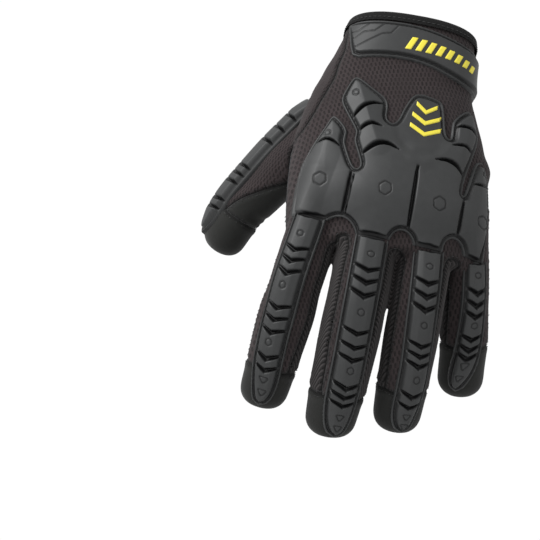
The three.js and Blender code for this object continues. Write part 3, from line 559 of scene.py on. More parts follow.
# Grooves over the back of the hand: their lines and half widths
LENGTH_GROOVES = (
    ([(-20.7, -98), (-21.2, -111), (-21.6, -118.4)], 1.2),
    ([(-19, -99.4), (-19.6, -106), (-20.1, -118.4)], 0.6),
    ([(12.5, -89.5), (12.6, -105.8), (12.8, -121.8)], 1.5),
    ([(39, -99.5), (38.6, -118.5)], 1.4),
)
LENGTH_TAPER = 0.25
CRESCENT_TAPER = 0.6
CRESCENTS = (
    ([(-24.6, -67), (-21.2, -60.8), (-15.5, -56.8), (-9.5, -56.5)], 1.35),
    ([(-20.8, -75), (-17.8, -70.8), (-13.8, -69), (-8.8, -70.2)], 1.35),
    ([(-17.6, -88), (-12, -82), (-7.6, -79.9), (-3.2, -79.9), (1.5, -82.4)], 1.75),
    ([(-39.5, -82.5), (-36, -80), (-32.8, -80.5), (-28.2, -84)], 1.0),
    ([(28.2, -60.5), (33.5, -58.5), (38.2, -59.5), (40.8, -62.8)], 1.25),
    ([(28.5, -72), (34.5, -70), (38.2, -72), (40.2, -74)], 1.25),
    ([(20.8, -83.5), (27, -81.5), (33, -83.2), (37, -88.5)], 1.6),
    ([(42.8, -88.6), (46.4, -87.8), (51.6, -85.6)], 1.1),
)
PLATE_HEXES = (
    ((-35.2, -102.8), 3), ((-2.2, -104.5), 3), ((26.2, -106.2), 3), ((50.2, -106.5), 2.8),
    ((-24.5, -52.2), 1.5), ((-35, -76.8), 1.5), ((48, -80.5), 1.3),
)
PLATE_RIDGES = (
    ([(-35.2, -68), (-36.4, -90), (-39, -104), (-42.5, -119)], 9),
    ([(-24.5, -44), (-19.5, -57), (-14.5, -70), (-10, -80)], 8),
    ([(36, -47), (36.5, -60), (33, -76)], 8),
)
RIDGE_LIFT = 1.3
HEX_LINE = 0.42
KNUCKLES = {"index": 0.195, "middle": 0.213, "ring": 0.24, "little": 0.3}
KNUCKLE_GROOVE = 1.2
KNUCKLE_REACH = 8
KNUCKLE_UNDER = 1.5


def knuckle_past(x, z):
    """How far a place lies past the groove where its nearest finger's strip begins, and beside it."""
    beside = np.abs([x - finger.frame_at(finger_length_at(finger, z))[0][..., 0] for finger in fingers])
    past = [finger_length_at(finger, z) - KNUCKLES[finger.name] * finger.length for finger in fingers]
    return np.choose(np.argmin(beside, axis=0), past), beside.min(axis=0)


def smoothed(line, times=2):
    """An open line with its corners cut and its ends kept."""
    line = np.asarray(line, float)
    for _ in range(times):
        cut = np.stack([mix(line[:-1], line[1:], 0.25), mix(line[:-1], line[1:], 0.75)], 1).reshape(-1, 2)
        line = np.vstack([line[:1], cut[1:-1], line[-1:]])
    return line


def hand_guard_height(x, z, inside):
    lift, block, painted_shade = rubber_edge(inside)
    depth = inside - CHANNEL_END
    cut = np.zeros_like(inside)
    for line, half_width in LENGTH_GROOVES:
        distance, _ = nearest_on(x, z, line)
        depth = np.minimum(depth, distance)
        cut = np.maximum(cut, tapered_groove(x, z, line, half_width, LENGTH_TAPER))
    body = PLATE_LIFT + CROWN_LIFT * (1 - np.exp(-np.maximum(0, depth) / CROWN_REACH))
    for line, reach in PLATE_RIDGES:
        distance, _ = nearest_on(x, z, line)
        body = body + RIDGE_LIFT * np.maximum(0, 1 - distance / reach)
    badge = step(inside_distance(x, z, BADGE_OUTLINE), *BADGE_SLOPE)
    body = mix(body, BADGE_LIFT, badge)
    from_bulge = BULGE["radius"] - np.hypot(x - BULGE["x"], z - BULGE["z"])
    body = body + BULGE["lift"] * step(from_bulge, *BULGE["slope"]) * step(-z, *BULGE["rise"])
    for line, half_width in CRESCENTS:
        cut = np.maximum(cut, tapered_groove(x, z, smoothed(line), half_width, CRESCENT_TAPER))
    past, beside = knuckle_past(x, z)
    narrowing = 1 - CROSS_NARROWING * np.minimum(1, beside / KNUCKLE_REACH)
    cut = np.maximum(cut, groove(np.maximum(0, -past), KNUCKLE_GROOVE * narrowing))
    marks = np.zeros_like(inside)
    for centre, radius in PLATE_HEXES:
        marks = np.maximum(marks, polygon_ring(x, z, centre, radius, 6, HEX_TILT, HEX_LINE))
    lift = mix(lift, mix(body - MARK_DEPTH * marks, GROOVE_FLOOR, cut), block)
    lift = np.where(past > KNUCKLE_UNDER, SUNK, lift - 0.25 * step(past, 0, 1))
    # Painted shade: the sewn channel, the grooves and the cut hexagon lines are coloured dark in place of
    # their shade
    return lift, np.maximum(painted_shade * CHANNEL_PAINTED_SHADE, np.maximum(shadow(cut), marks) * block)


# Finger strips: places of their features as shares of the finger's length
STRIPS = {
    "index": dict(end=0.972, chevrons=(0.323, 0.37, 0.415, 0.547, 0.597, 0.65, 0.744, 0.787),
                  hexes=(0.273, 0.48, 0.708), triangles=(0.846, 0.9)),
    "middle": dict(end=0.975, chevrons=(0.322, 0.368, 0.411, 0.541, 0.597, 0.645, 0.739, 0.772, 0.806),
                   hexes=(0.278, 0.482, 0.7), triangles=(0.874, 0.92)),
    "ring": dict(end=0.97, chevrons=(0.353, 0.398, 0.44, 0.579, 0.621, 0.661, 0.769, 0.815),
                 hexes=(0.304, 0.512, 0.727), triangles=(0.877, 0.923)),
    "little": dict(end=0.93, chevrons=(0.421, 0.471, 0.517, 0.63, 0.677, 0.714),
                   hexes=(0.363, 0.583), triangles=(0.77, 0.832)),
    "thumb": dict(start=0.17, end=0.965, cuts=(0.3, 0.375, 0.45, 0.6, 0.645, 0.69, 0.775, 0.815)),
}
STRIP_WIDTH = 17.6
THUMB_STRIP_WIDTH = 19
THUMB_STRIP_LIFT = 4
THUMB_END_LIFT = 1.2
THUMB_END_SLOPE = 11
# Painted shade laid over the thumb guard's whole edge, bead and channel
THUMB_EDGE_PAINTED_SHADE = 0.5
CHEVRON_DEPTH = 3
CHEVRON_HALF = 1.75
THUMB_CUT_DEPTH = 2
THUMB_CUT_HALF = 1.1
STRIP_MARKS = (("hexes", 1.45, 6, 0), ("triangles", 1.25, 3, -math.pi / 2))
STRIP_START = 8
START_ROUND = 5
STRIP_BEVEL = 0.55
TAPER_LENGTH = 26
TAPER_POWER = 2.6


def strip_half(digit, at, end, width):
    scale = np.minimum(1, digit.read(at, digit.half_width) * 2 / FINGER_WIDTH)
    left = np.clip((end - at) / TAPER_LENGTH, 0, 1)
    return width / 2 * scale * np.sqrt(np.maximum(0, 1 - (1 - left) ** TAPER_POWER))


def strip_outline(digit, start, end, width):
    ends = (1 - np.cos(np.linspace(0, np.pi / 2, 10))) * START_ROUND
    taper = end - TAPER_LENGTH * np.cos(np.linspace(0, np.pi / 2, 16))[1:-1]
    straight = np.linspace(start + 2 * START_ROUND, end - TAPER_LENGTH, 12)
    stops = np.concatenate([start + ends, straight, taper])
    opening = np.clip((stops - start) / START_ROUND, 0, 1)
    half = strip_half(digit, stops, end, width) * np.sqrt(opening * (2 - opening))
    right = np.stack([half, stops], -1)
    left = np.stack([-half, stops], -1)[:0:-1]
    return np.vstack([right, [(0, end)], left])


def finger_strip_height(finger):
    features = STRIPS[finger.name]
    start = KNUCKLES[finger.name] * finger.length
    end = features["end"] * finger.length

    def height(around, at, inside):
        lift, block, painted_shade = rubber_edge(inside)
        half = np.maximum(1, strip_half(finger, at, end, STRIP_WIDTH) - CHANNEL_END)
        side = np.clip(np.abs(around) / half, 0, 1)
        body = STRIP_LIFT + STRIP_RIDGE * np.minimum(1, (1 - side) / STRIP_BEVEL)
        cut = groove(np.maximum(0, at - start), KNUCKLE_GROOVE * (1 - CROSS_NARROWING * side))
        for share in features["chevrons"]:
            ahead = at - share * finger.length - CHEVRON_DEPTH * (1 - side)
            half_width = CHEVRON_HALF * (1 - CHEVRON_NARROWING * side)
            cut = np.maximum(cut, groove(np.abs(ahead), half_width))
        marks = np.zeros_like(inside)
        for kind, radius, sides, tilt in STRIP_MARKS:
            for share in features[kind]:
                ring = polygon_ring(around, at, (0, share * finger.length), radius, sides, tilt, HEX_LINE)
                marks = np.maximum(marks, ring)
        lift = mix(lift, mix(body - STRIP_MARK_DEPTH * marks, GROOVE_FLOOR, cut), block)
        lift = np.where(at < start - KNUCKLE_UNDER, SUNK, lift)
        # Painted shade: the channel, the chevron grooves and the cut hexagons and triangles are coloured
        # dark in place of their shade
        return lift, np.maximum(painted_shade * CHANNEL_PAINTED_SHADE, np.maximum(shadow(cut), marks) * block)

    return height


def thumb_strip_height(around, at, inside):
    features = STRIPS["thumb"]
    end = features["end"] * thumb.length
    lift, block, _ = rubber_edge(inside)
    half = np.maximum(1, strip_half(thumb, at, end, THUMB_STRIP_WIDTH) - CHANNEL_END)
    side = np.clip(np.abs(around) / half, 0, 1)
    from_ends = np.minimum(at - features["start"] * thumb.length, end - at) - CHANNEL_END
    body = THUMB_STRIP_LIFT + STRIP_RIDGE * (1 - side)
    body = mix(THUMB_END_LIFT, body, np.sqrt(np.clip(from_ends / THUMB_END_SLOPE, 0, 1)))
    cut = np.zeros_like(inside)
    for share in features["cuts"]:
        ahead = at - share * thumb.length - THUMB_CUT_DEPTH * (1 - side)
        cut = np.maximum(cut, groove(np.abs(ahead), THUMB_CUT_HALF))
    lift = mix(lift, mix(body, GROOVE_FLOOR, cut), block)
    # Painted shade: the thumb guard's edge, bead and channel, is darkened by half, and its cuts fully
    return lift, np.maximum(THUMB_EDGE_PAINTED_SHADE * (1 - block), shadow(cut) * block)


# Closure tab. turn: degrees. top and bottom: shares of TAB_HEIGHT below TAB_DROP.
TAB_HEIGHT = 22
TAB_LIFT = 3
TAB_DROP = 6.4
TAB_ROWS = (
    (155, 0.02, 0.08), (144, 0, 0.42), (135, 0, 0.76), (126, 0, 1.08), (107, 0, 1), (90, 0, 0.95),
    (75, 0.07, 1.02),
    (60, 0.14, 1.13), (40, 0.18, 1.2), (20, 0.18, 1.2), (0, 0.16, 1.14), (-22, 0.14, 1.08),
    (-38, 0.2, 0.95),
)
TAB_TURNS = np.radians(np.linspace(170, -46, 440))
TAB_RING = hand_point(TAB_TURNS, np.full(TAB_TURNS.shape, -TAB_DROP - TAB_HEIGHT / 2))
TAB_ARCS = lengths_along(TAB_RING)


def tab_surface(arc, z, lift):
    return hand_point(np.interp(arc, TAB_ARCS, TAB_TURNS), z, GAP + lift)


def tab_arc(turn):
    return np.interp(-math.radians(turn), -TAB_TURNS, TAB_ARCS)


def tab_outline():
    top = [(tab_arc(turn), -TAB_DROP - top * TAB_HEIGHT) for turn, top, _ in TAB_ROWS]
    bottom = [(tab_arc(turn), -TAB_DROP - bottom * TAB_HEIGHT) for turn, _, bottom in TAB_ROWS]
    return rounded([*top, *bottom[::-1]], 1)


# Lines cut into the tab near its ends: places along it from its left end and shares of its height
TAB_LINES_FROM = 142
TAB_LINES = (
    [(-3, 0.37), (1.4, 0.36), (4.9, 0.33), (9.6, 0.14)],
    [(0, 0.62), (5.3, 0.52), (8.7, 0.36), (14.1, 0.33), (17.6, 0.14)],
    [(3, 0.86), (8.4, 0.78), (18.6, 0.4), (22.8, 0.36), (25, 0.14)],
    [(100, 0.3), (106, 0.5), (104, 0.85)],
    [(108, 0.3), (114, 0.55), (112, 0.9)],
)
TAB_LINE_WIDTH = 0.5


def tab_height(arc, z, inside):
    lift, block, painted_shade = rubber_edge(inside)
    marks = np.zeros_like(inside)
    start = tab_arc(TAB_LINES_FROM)
    for line in TAB_LINES:
        places = [(start + along, -TAB_DROP - share * TAB_HEIGHT) for along, share in line]
        marks = np.maximum(marks, groove(nearest_on(arc, z, places)[0], TAB_LINE_WIDTH))
    # Painted shade: the channel and the cut lines are coloured dark in place of their shade
    return mix(lift, TAB_LIFT - 0.6 * marks, block), np.maximum(painted_shade * CHANNEL_PAINTED_SHADE, marks * block)


# Raised yellow bars: plain slanted bars on the tab, chevrons on the badge
ACCENT_LIFT = 0.5
TAB_BARS = {"count": 8, "turn": 91, "pitch": 5, "corners": (0, 3.1, 5.1, 2), "height": 7.6, "shrink": 0.45,
            "base": -22.5, "fall": (0.1, 0.35)}
BADGE_BARS = {"halves": (5.6, 7.4, 8.2), "top": -51, "pitch": 6.6, "drop": 4.4, "thickness": 2.7,
              "x": 12.6, "shift": 0.4}


def raised_on(base):
    def height(u, v, inside):
        lift = mix(base - 0.3, base + ACCENT_LIFT, step(inside, -0.1, 0.3))
        return lift, np.zeros_like(lift)

    return height


def tab_bars():
    """Slanted bars that grow shorter along the tab, as (arc, z) outlines."""
    outlines = []
    for i in range(TAB_BARS["count"]):
        start = tab_arc(TAB_BARS["turn"]) + TAB_BARS["pitch"] * i
        low = TAB_BARS["base"] - TAB_BARS["fall"][0] * i * i * TAB_BARS["fall"][1]
        high = low + (TAB_BARS["height"] - TAB_BARS["shrink"] * i)
        arcs = [start + corner for corner in TAB_BARS["corners"]]
        outlines.append(np.array(list(zip(arcs, (low, low, high, high)))))
    return outlines


def badge_chevrons():
    """Nested chevrons that point to the fingers, as (x, z) outlines."""
    outlines = []
    for i, half in enumerate(BADGE_BARS["halves"]):
        middle = BADGE_BARS["x"] + BADGE_BARS["shift"] * i
        top = BADGE_BARS["top"] - BADGE_BARS["pitch"] * i
        upper = [(middle - half, top), (middle, top - BADGE_BARS["drop"]), (middle + half, top)]
        lower = [(x, z - BADGE_BARS["thickness"]) for x, z in reversed(upper)]
        outlines.append(np.array(upper + lower))
    return outlines


# Cloth
VOXEL = 1.1
SMOOTHING = 6
BODY_TOP = 2
RIM_SEAT = 1.8
WEB_PALM_SEAM = 6
TIP_STOPS = (0.3, 0.55, 0.75, 0.88, 0.96, 1)
# The index finger is slimmer where it would touch the middle one: by how much, and from where to where
INDEX_SLIMMING = 0.9
SLIM_FROM = (18, 30)
SLIM_TO = (60, 75)
WEB_START = 24
ROOT_LENGTH = 15
# The seam on the index finger's outer side: its place at the root, and where it rises to the middle
INDEX_SEAM_LOW = -10
INDEX_SEAM_RISE = (26, 70)
THUMB_SEAM_START = 36
THUMB_SEAM_RISE = 10
THUMB_SEAM_LOW = -9
THUMB_RISE_FROM = 42
THUMB_RISE_END = 95
THUMB_SIDE_REACH = 9
THUMB_SIDE_END = 0.74
SEAM_DEPTH = 0.8
SIDE_BULGE = {"z": -73, "reach": 6, "lift": 2.4}
SEAM_WIDTH = 1.1
SEAM_REACH = 6
BORDER_SMOOTHING = 14
PUFF = {"height": 0.35, "at": 2.4, "width": 1.5}
BACK_SEAM = (
    (-0.1, -0.32), (0.184, -0.322), (0.258, -0.344), (0.342, -0.361), (0.406, -0.391), (0.477, -0.417),
    (0.556, -0.463), (0.62, -0.54), (1.1, -0.54),
)
# Where each fourchette is sewn on: how far out from the middle planes of its left and right finger
WEB_BACK_SEAMS = ((8.5, 11), (10, 9.5), (9.5, 7))
NODES_OF_PANELS = {
    "palm_panel": ["palm_panel", *(f"finger_front_{finger.name}" for finger in fingers)],
    "back_panel": ["back_panel", *(f"finger_back_{finger.name}" for finger in fingers)],
    "thumb_back_panel": ["thumb_back_panel"],
    "thumb_palm_panel": ["thumb_palm_panel"],
    **{f"fourchette_{left.name}_{right.name}": [f"fourchette_{left.name}_{right.name}"]
       for left, right in zip(fingers, fingers[1:])},
    "fingertips": [f"fingertip_{finger.name}" for finger in fingers],
    "thumb_tip": ["thumb_tip"],
}
PANELS = tuple(NODES_OF_PANELS)
BACK, THUMB_BACK, THUMB_PALM, FIRST_WEB = 1, 2, 3, 4
FINGERTIPS, THUMB_TIP = 7, 8


def cloth_body():
    """Points and quads of the whole cloth surface, from lofts fused into one skin."""
    turns = np.linspace(0, 2 * np.pi, 96, endpoint=False)
    heights = np.linspace(BODY_TOP, -PALM_LENGTH, 70)
    rings = [hand_point(turns, np.full(turns.shape, z)) for z in heights]
    for share in (0.5, 0.87, 1):
        pulled_in = WEB_ROUND * (1 - math.sqrt(1 - share ** 2))
        ring = hand_point(turns, np.full(turns.shape, -float(PALM_LENGTH)), -pulled_in)
        ring[:, 2] -= WEB_ROUND * share
        rings.append(ring)
    parts = [loft(rings)]
    turns = np.linspace(0, 2 * np.pi, 48, endpoint=False)
    for digit in digits:
        stops = [*np.linspace(0, digit.body, 60), *(digit.body + TIP_ROUND * np.array(TIP_STOPS))]
        slimming = INDEX_SLIMMING if digit is fingers[0] else 0
        slim = [-slimming * step(at, *SLIM_FROM) * (1 - step(at, *SLIM_TO)) for at in stops]
        rings = [digit.point(np.full(turns.shape, at), turns, grow) for at, grow in zip(stops, slim)]
        parts.append(loft(rings))
    points, faces = joined(parts)
    return remeshed(points, faces)


def remeshed(points, faces):
    def voxels(working):
        modifier = working.modifiers.new("voxels", "REMESH")
        modifier.mode = "VOXEL"
        modifier.voxel_size = VOXEL * MM

    points, quads, _ = evaluated(points, faces, {}, voxels)
    return points, quads


def sides_of(quads):
    return np.sort(np.concatenate([quads[:, [a, (a + 1) % 4]] for a in range(4)]), axis=1)


def edges_of(quads):
    return np.unique(sides_of(quads), axis=0)


def relaxed(values, edges, times, share=0.5, where=None):
    """Values at the vertices, moved towards their neighbours' mean."""
    count = np.zeros(len(values))
    np.add.at(count, edges[:, 0], 1)
    np.add.at(count, edges[:, 1], 1)
    moved = np.ones(len(values)) if where is None else where
    moved = share * moved * (count > 0)
    scale = 1 / np.maximum(count, 1)
    shape = (-1,) + (1,) * (values.ndim - 1)
    for _ in range(times):
        total = np.zeros_like(values)
        np.add.at(total, edges[:, 0], values[edges[:, 1]])
        np.add.at(total, edges[:, 1], values[edges[:, 0]])
        values = values + moved.reshape(shape) * (total * scale.reshape(shape) - values)
    return values


def seam_across(z):
    table = np.array(BACK_SEAM)
    return np.interp(-z / PALM_LENGTH, table[:, 0], table[:, 1]) * KNUCKLE_WIDTH


class Places:
    """Where cloth points lie: on which part, how far along and round it."""

    def __init__(self, points):
        self.x, self.y, self.z = points.T
        located = [digit.locate(points) for digit in digits]
        section = hand_section(self.z)
        across = (self.x - section["x"]) / section["half_width"]
        middle = section["y"] + section["arch"] * (np.minimum(1, across * across) - ARCH_LEVEL)
        out = (self.y - middle) / section["half_depth"]
        hand = (np.abs(across) ** HAND_POWER + np.abs(out) ** HAND_POWER) ** (1 / HAND_POWER)
        hand = hand + np.maximum(0, -self.z - PALM_LENGTH) / WEB_ROUND
        before_root = [np.maximum(0, -place[0]) / TIP_ROUND for place in located]
        reaches = np.array([place[3] + before for place, before in zip(located, before_root)] + [hand])
        self.owner = np.argmin(reaches, axis=0)
        last = len(digits) - 1
        pick = np.minimum(self.owner, last)
        self.at, self.across, self.out = (
            np.choose(pick, [place[k] for place in located]) for k in range(3)
        )
        self.located = located
        self.side_height = section["y"] + section["arch"] * (1 - ARCH_LEVEL)
        self.is_hand = self.owner > last
        self.is_thumb = self.owner == last
        self.is_finger = self.owner < last
        self.seam_at = np.choose(pick, [digit.spec["seam"] * digit.length for digit in digits])


def panel_of(places):
    """The number in PANELS of the panel that each place belongs to."""
    label = np.zeros(len(places.x), int)
    on_back = places.is_hand & (places.y < places.side_height) & (places.x > seam_across(places.z))
    is_outer_side = (places.owner == 0) & (places.across < 0)
    is_outer_side |= (places.owner == 3) & (places.across > 0)
    limit = np.zeros(len(places.x))
    for i, (left_seam, right_seam) in enumerate(WEB_BACK_SEAMS):
        limit[(places.owner == i) & (places.across > 0)] = left_seam
        limit[(places.owner == i + 1) & (places.across <= 0)] = right_seam
    index_side = (places.owner == 0) & (places.across <= 0)
    limit[index_side] = (INDEX_SEAM_LOW * (1 - step(places.at, *INDEX_SEAM_RISE)))[index_side]
    in_reach = places.is_finger & (places.at < places.seam_at)
    on_back |= in_reach & (places.out > limit)
    root_side = places.is_finger & (places.at < WEB_START) & (places.out > -WEB_PALM_SEAM / 2)
    on_back |= root_side & ~is_outer_side
    on_back |= places.is_finger & (places.at < ROOT_LENGTH) & (places.out > 0)
    label[on_back] = BACK
    for i in range(3):
        left = (places.owner == i) & (places.across > 0)
        right = (places.owner == i + 1) & (places.across < 0)
        web = (left | right) & (places.out < limit) & (places.out > -WEB_PALM_SEAM)
        web &= (places.at >= WEB_START) & in_reach
        label[web] = FIRST_WEB + i
    thumb_at, _, thumb_out, thumb_reach = places.located[-1]
    side = (places.x < seam_across(places.z)) & (-places.z < THUMB_SIDE_END * PALM_LENGTH)
    side &= (places.y < places.side_height + THUMB_SIDE_REACH) & ~places.is_finger
    label[side] = THUMB_BACK
    past = places.is_thumb & (thumb_at > THUMB_SEAM_START)
    label[past] = THUMB_PALM
    rise = mix(THUMB_SEAM_LOW, THUMB_SEAM_RISE, step(thumb_at, THUMB_RISE_FROM, THUMB_RISE_END))
    outer = places.is_thumb & (thumb_out > rise) & (thumb_at < places.seam_at)
    label[outer] = THUMB_BACK
    label[places.is_finger & (places.at >= places.seam_at)] = FINGERTIPS
    label[places.is_thumb & (places.at >= places.seam_at)] = THUMB_TIP
    return label


def labels_of_faces(label, quads):
    """Each face takes the label that most of its corners have."""
    corner_labels = label[quads]
    votes = np.stack([(corner_labels == k).sum(axis=1) for k in range(len(PANELS))])
    return votes.argmax(axis=0)


def border_edges(quads, face_labels):
    """Edges between faces of different panels."""
    pairs = sides_of(quads)
    owners = np.tile(np.arange(len(quads)), 4)
    order = np.lexsort((pairs[:, 1], pairs[:, 0]))
    pairs, owners = pairs[order], owners[order]
    same = (pairs[1:] == pairs[:-1]).all(axis=1)
    first = np.nonzero(same)[0]
    differ = face_labels[owners[first]] != face_labels[owners[first + 1]]
    return pairs[first[differ]]


def distance_to(points, seeds, reach):
    """Distance from each point to the nearest seed, capped at reach."""
    tree = kdtree.KDTree(len(seeds))
    for i, seed in enumerate(seeds):
        tree.insert(seed, i)
    tree.balance()
    found = (tree.find(point)[2] for point in points)
    return np.minimum(reach, np.fromiter(found, float, len(points)))


# Wrinkles. Joint creases: place past the joint, and depth. Palm creases: z at x = 0, tilt and depth.
SWAY = 0.16
JOINT_CREASES = ((-3.2, 0.8), (0.6, 1.1), (4.6, 0.7))
JOINT_CREASE_WIDTH = 1.3
PALM_CREASES = ((-66, 0.35, 0.7), (-84, 0.22, 0.8), (-112, 0.06, 1), (-118, 0.04, 0.8))
PALM_CREASE_WIDTH = 1.8
THUMB_FOLDS = {"at": 34, "reach": 14, "height": 0.3}
CUFF_FOLDS = 0.16


def folds(points, places):
    """Soft wrinkles: creases across the finger fronts, the palm and the thumb's root, and a slow sway."""
    x, y, z = points.T
    sway = np.sin(x / 9.3 + z / 15) + np.sin(z / 7.1 - y / 8.7 + 1.3) + np.sin(x / 5.7 + y / 6.9 + z / 9.1)
    height = SWAY * sway
    for i, digit in enumerate(digits):
        on = (places.owner == i) * step(-places.out, 0, 6)
        for share in (digit.spec["middle"], digit.spec["tip"]):
            for shift, depth in JOINT_CREASES:
                centre = share * digit.length + shift + 0.7 * np.sin(places.across / 3.1 + shift)
                height = height - on * depth * bell(places.at, centre, JOINT_CREASE_WIDTH)
    on_palm = places.is_hand * step(y - places.side_height, 4, 12)
    for level, tilt, depth in PALM_CREASES:
        centre = level - tilt * x + 1.5 * np.sin(x / 8)
        height = height - on_palm * depth * bell(z, centre, PALM_CREASE_WIDTH)
    thumb_at, thumb_across, _, _ = places.located[-1]
    near_root = bell(thumb_at, THUMB_FOLDS["at"], THUMB_FOLDS["reach"])
    near_root = near_root * (places.is_thumb | places.is_hand) * step(y, -8, 6)
    height = height + near_root * THUMB_FOLDS["height"] * np.sin(thumb_at / 2.1 + thumb_across / 9)
    bulge = bell(z, SIDE_BULGE["z"], SIDE_BULGE["reach"]) * step(x, 38, 50) * places.is_hand
    height = height + SIDE_BULGE["lift"] * bulge
    cuff = step(-z, 12, 26) * (1 - step(-z, 40, 62)) * places.is_hand
    height = height + cuff * CUFF_FOLDS * np.sin(z / 2.6 + 0.8 * np.sin(x / 7))
    return height


def cloth_surface():
    """The skin with seams sunk and folds: points, quads, a panel number for each face, masks."""
    points, quads = cloth_body()
    edges = edges_of(quads)
    points = relaxed(points, edges, SMOOTHING)
    places = Places(points)
    face_labels = labels_of_faces(panel_of(places), quads)
    borders = border_edges(quads, face_labels)
    points = relaxed(points, borders, BORDER_SMOOTHING)
    is_border = np.zeros(len(points))
    is_border[borders.ravel()] = 1
    points = relaxed(points, edges, 2, where=1 - is_border)
    seeds = np.concatenate([mix(points[borders[:, 0]], points[borders[:, 1]], t) for t in (0, 0.33, 0.67)])
    distance = distance_to(points, seeds, SEAM_REACH)
    # The seam mask sinks the seams and is also painted shade: the cloth materials colour it near black
    seam = bell(distance, 0, SEAM_WIDTH)
    puff = PUFF["height"] * bell(distance, PUFF["at"], PUFF["width"])
    height = folds(points, Places(points)) - SEAM_DEPTH * seam + puff
    height = relaxed(height, edges, 2)
    points = points + vertex_normals(points, quads) * height[:, None]
    keep = (points[quads][:, :, 2] < -RIM_SEAT).all(axis=1)
    return points, quads[keep], face_labels[keep], {"seam": seam}, borders


def subset(points, quads, masks):
    used, faces = np.unique(quads, return_inverse=True)
    return points[used], faces.reshape(-1, 4), {name: values[used] for name, values in masks.items()}


RIB_PITCH = 1.35
RIB_HEIGHT = 0.25
RIB_SLANT = (0.6, 0.8)


def ribbed(points, quads, masks):
    """A finer copy of a fourchette with slanting ribs."""
    def finer(working):
        working.modifiers.new("finer", "SUBSURF").levels = 1

    points, quads, masks = evaluated(points, quads, masks, finer)
    along = points[:, 2] * RIB_SLANT[1] + points[:, 1] * RIB_SLANT[0]
    height = RIB_HEIGHT * np.sin(2 * np.pi * along / RIB_PITCH) * (1 - masks["seam"])
    return points + vertex_normals(points, quads) * height[:, None], quads, masks


def thickened(piece):
    """Gives a cloth panel its wall, inward."""
    modifier = piece.modifiers.new("wall", "SOLIDIFY")
    modifier.thickness = WALL * MM * 0.8
    modifier.offset = -1
    modifier.use_even_offset = False


# Stitches
STITCH_PITCH = 2.7
STITCH_LENGTH = 1.8
STITCH_RADIUS = 0.2
STITCH_SIDES = 5
STITCH_OFFSET = 1.7
STITCH_RISE = 0.45
# How far ahead a stitch looks for its direction, on seams and in the guards' channels
STITCH_LOOK = 0.4
CHANNEL_LOOK = 0.3
LEAST_CHAIN = 8
SHORT_CHAIN = 12


def stitch(centre, direction, normal):
    """One stitch as a closed, pointed bead."""
    direction = unit(direction)
    across = unit(np.cross(normal, direction))
    up = np.cross(direction, across)
    rings = []
    for along, size in ((-0.5, 0.25), (-0.28, 1), (0.28, 1), (0.5, 0.25)):
        angles = np.linspace(0, 2 * np.pi, STITCH_SIDES, endpoint=False)
        ring = centre + direction * along * STITCH_LENGTH + STITCH_RADIUS * size * (
            np.cos(angles)[:, None] * across + np.sin(angles)[:, None] * up)
        rings.append(ring)
    return loft(rings)


def stitches_along(line, normals):
    """Stitches at an even pitch along a line of points."""
    lengths = lengths_along(line)
    parts = []
    for at in np.arange(STITCH_PITCH / 2, lengths[-1], STITCH_PITCH):
        centre, ahead = (sampled(place, lengths, line) for place in (at, at + STITCH_LOOK))
        parts.append(stitch(centre, ahead - centre + 1e-6, sampled(at, lengths, normals)))
    return parts


def chains_of(borders):
    """Lines of vertices that run along the seams, from junction to junction."""
    neighbours = {}
    for a, b in borders:
        neighbours.setdefault(a, []).append(b)
        neighbours.setdefault(b, []).append(a)
    unused = {tuple(sorted(pair)) for pair in borders.tolist()}
    starts = [vertex for vertex, others in neighbours.items() if len(others) != 2] + list(neighbours)
    chains = []
    for start in starts:
        for following in neighbours[start]:
            chain = [start]
            while tuple(sorted((chain[-1], following))) in unused:
                unused.remove(tuple(sorted((chain[-1], following))))
                chain.append(following)
                onward = [v for v in neighbours[following] if tuple(sorted((following, v))) in unused]
                if len(neighbours[following]) != 2 or not onward:
                    break
                following = onward[0]
            if len(chain) > LEAST_CHAIN:
                chains.append(chain)
    return chains


def seam_stitches(points, quads_all, borders):
    """Two rows of stitches, one on each side of every seam."""
    normals = vertex_normals(points, quads_all)
    parts = []
    for chain in chains_of(borders):
        line = points[chain]
        line = np.stack([blurred(line[:, k], 5) for k in range(3)], -1)
        if line[:, 2].max() > -RIM_SEAT - 3 and len(chain) < SHORT_CHAIN:
            continue
        normal = normals[chain]
        side = unit_rows(np.cross(normal, np.gradient(line, axis=0)))
        for offset in (-STITCH_OFFSET, STITCH_OFFSET):
            lifted = line + side * offset + normal * STITCH_RISE
            keep = lifted[:, 2] < -BINDING_HEIGHT
            if keep.sum() > LEAST_CHAIN:
                parts += stitches_along(lifted[keep], normal[keep])
    return joined(parts)


def channel_stitches(surface, outline, keep):
    """Stitches in the channel inside an outline."""
    closed = np.vstack([outline, outline[:1]])
    lengths = lengths_along(closed)
    stops = np.arange(0, lengths[-1], STITCH_PITCH)
    u, v = sampled(stops, lengths, closed).T
    ahead_u, ahead_v = sampled((stops + CHANNEL_LOOK) % lengths[-1], lengths, closed).T
    turn = np.arctan2(ahead_v - v, ahead_u - u)
    middle = (BEAD_END + CHANNEL_END + EDGE_WIDTH) / 2
    parts = []
    for sign in (-1, 1):
        inner_u = u - sign * np.sin(turn) * middle
        inner_v = v + sign * np.cos(turn) * middle
        deep = inside_distance(inner_u, inner_v, outline)
        good = (deep > middle * 0.85) & keep(inner_u, inner_v)
        lift = np.full(u.shape, CHANNEL_LIFT + 0.1)
        centre = surface(inner_u, inner_v, lift)
        ahead = surface(inner_u + np.cos(turn) * CHANNEL_LOOK, inner_v + np.sin(turn) * CHANNEL_LOOK, lift)
        above = surface(inner_u, inner_v, lift + 1)
        for i in np.nonzero(good)[0]:
            parts.append(stitch(centre[i], ahead[i] - centre[i], above[i] - centre[i]))
    return parts


# Cuff binding and pull tab
BINDING_HEIGHT = 5.6
BINDING_LIFT = 1.3
BINDING_SEAM = 3.9
PULL_WIDTH = 15
PULL_LENGTH = 21
PULL_THICKNESS = 2.2
PULL_OVERLAP = 1


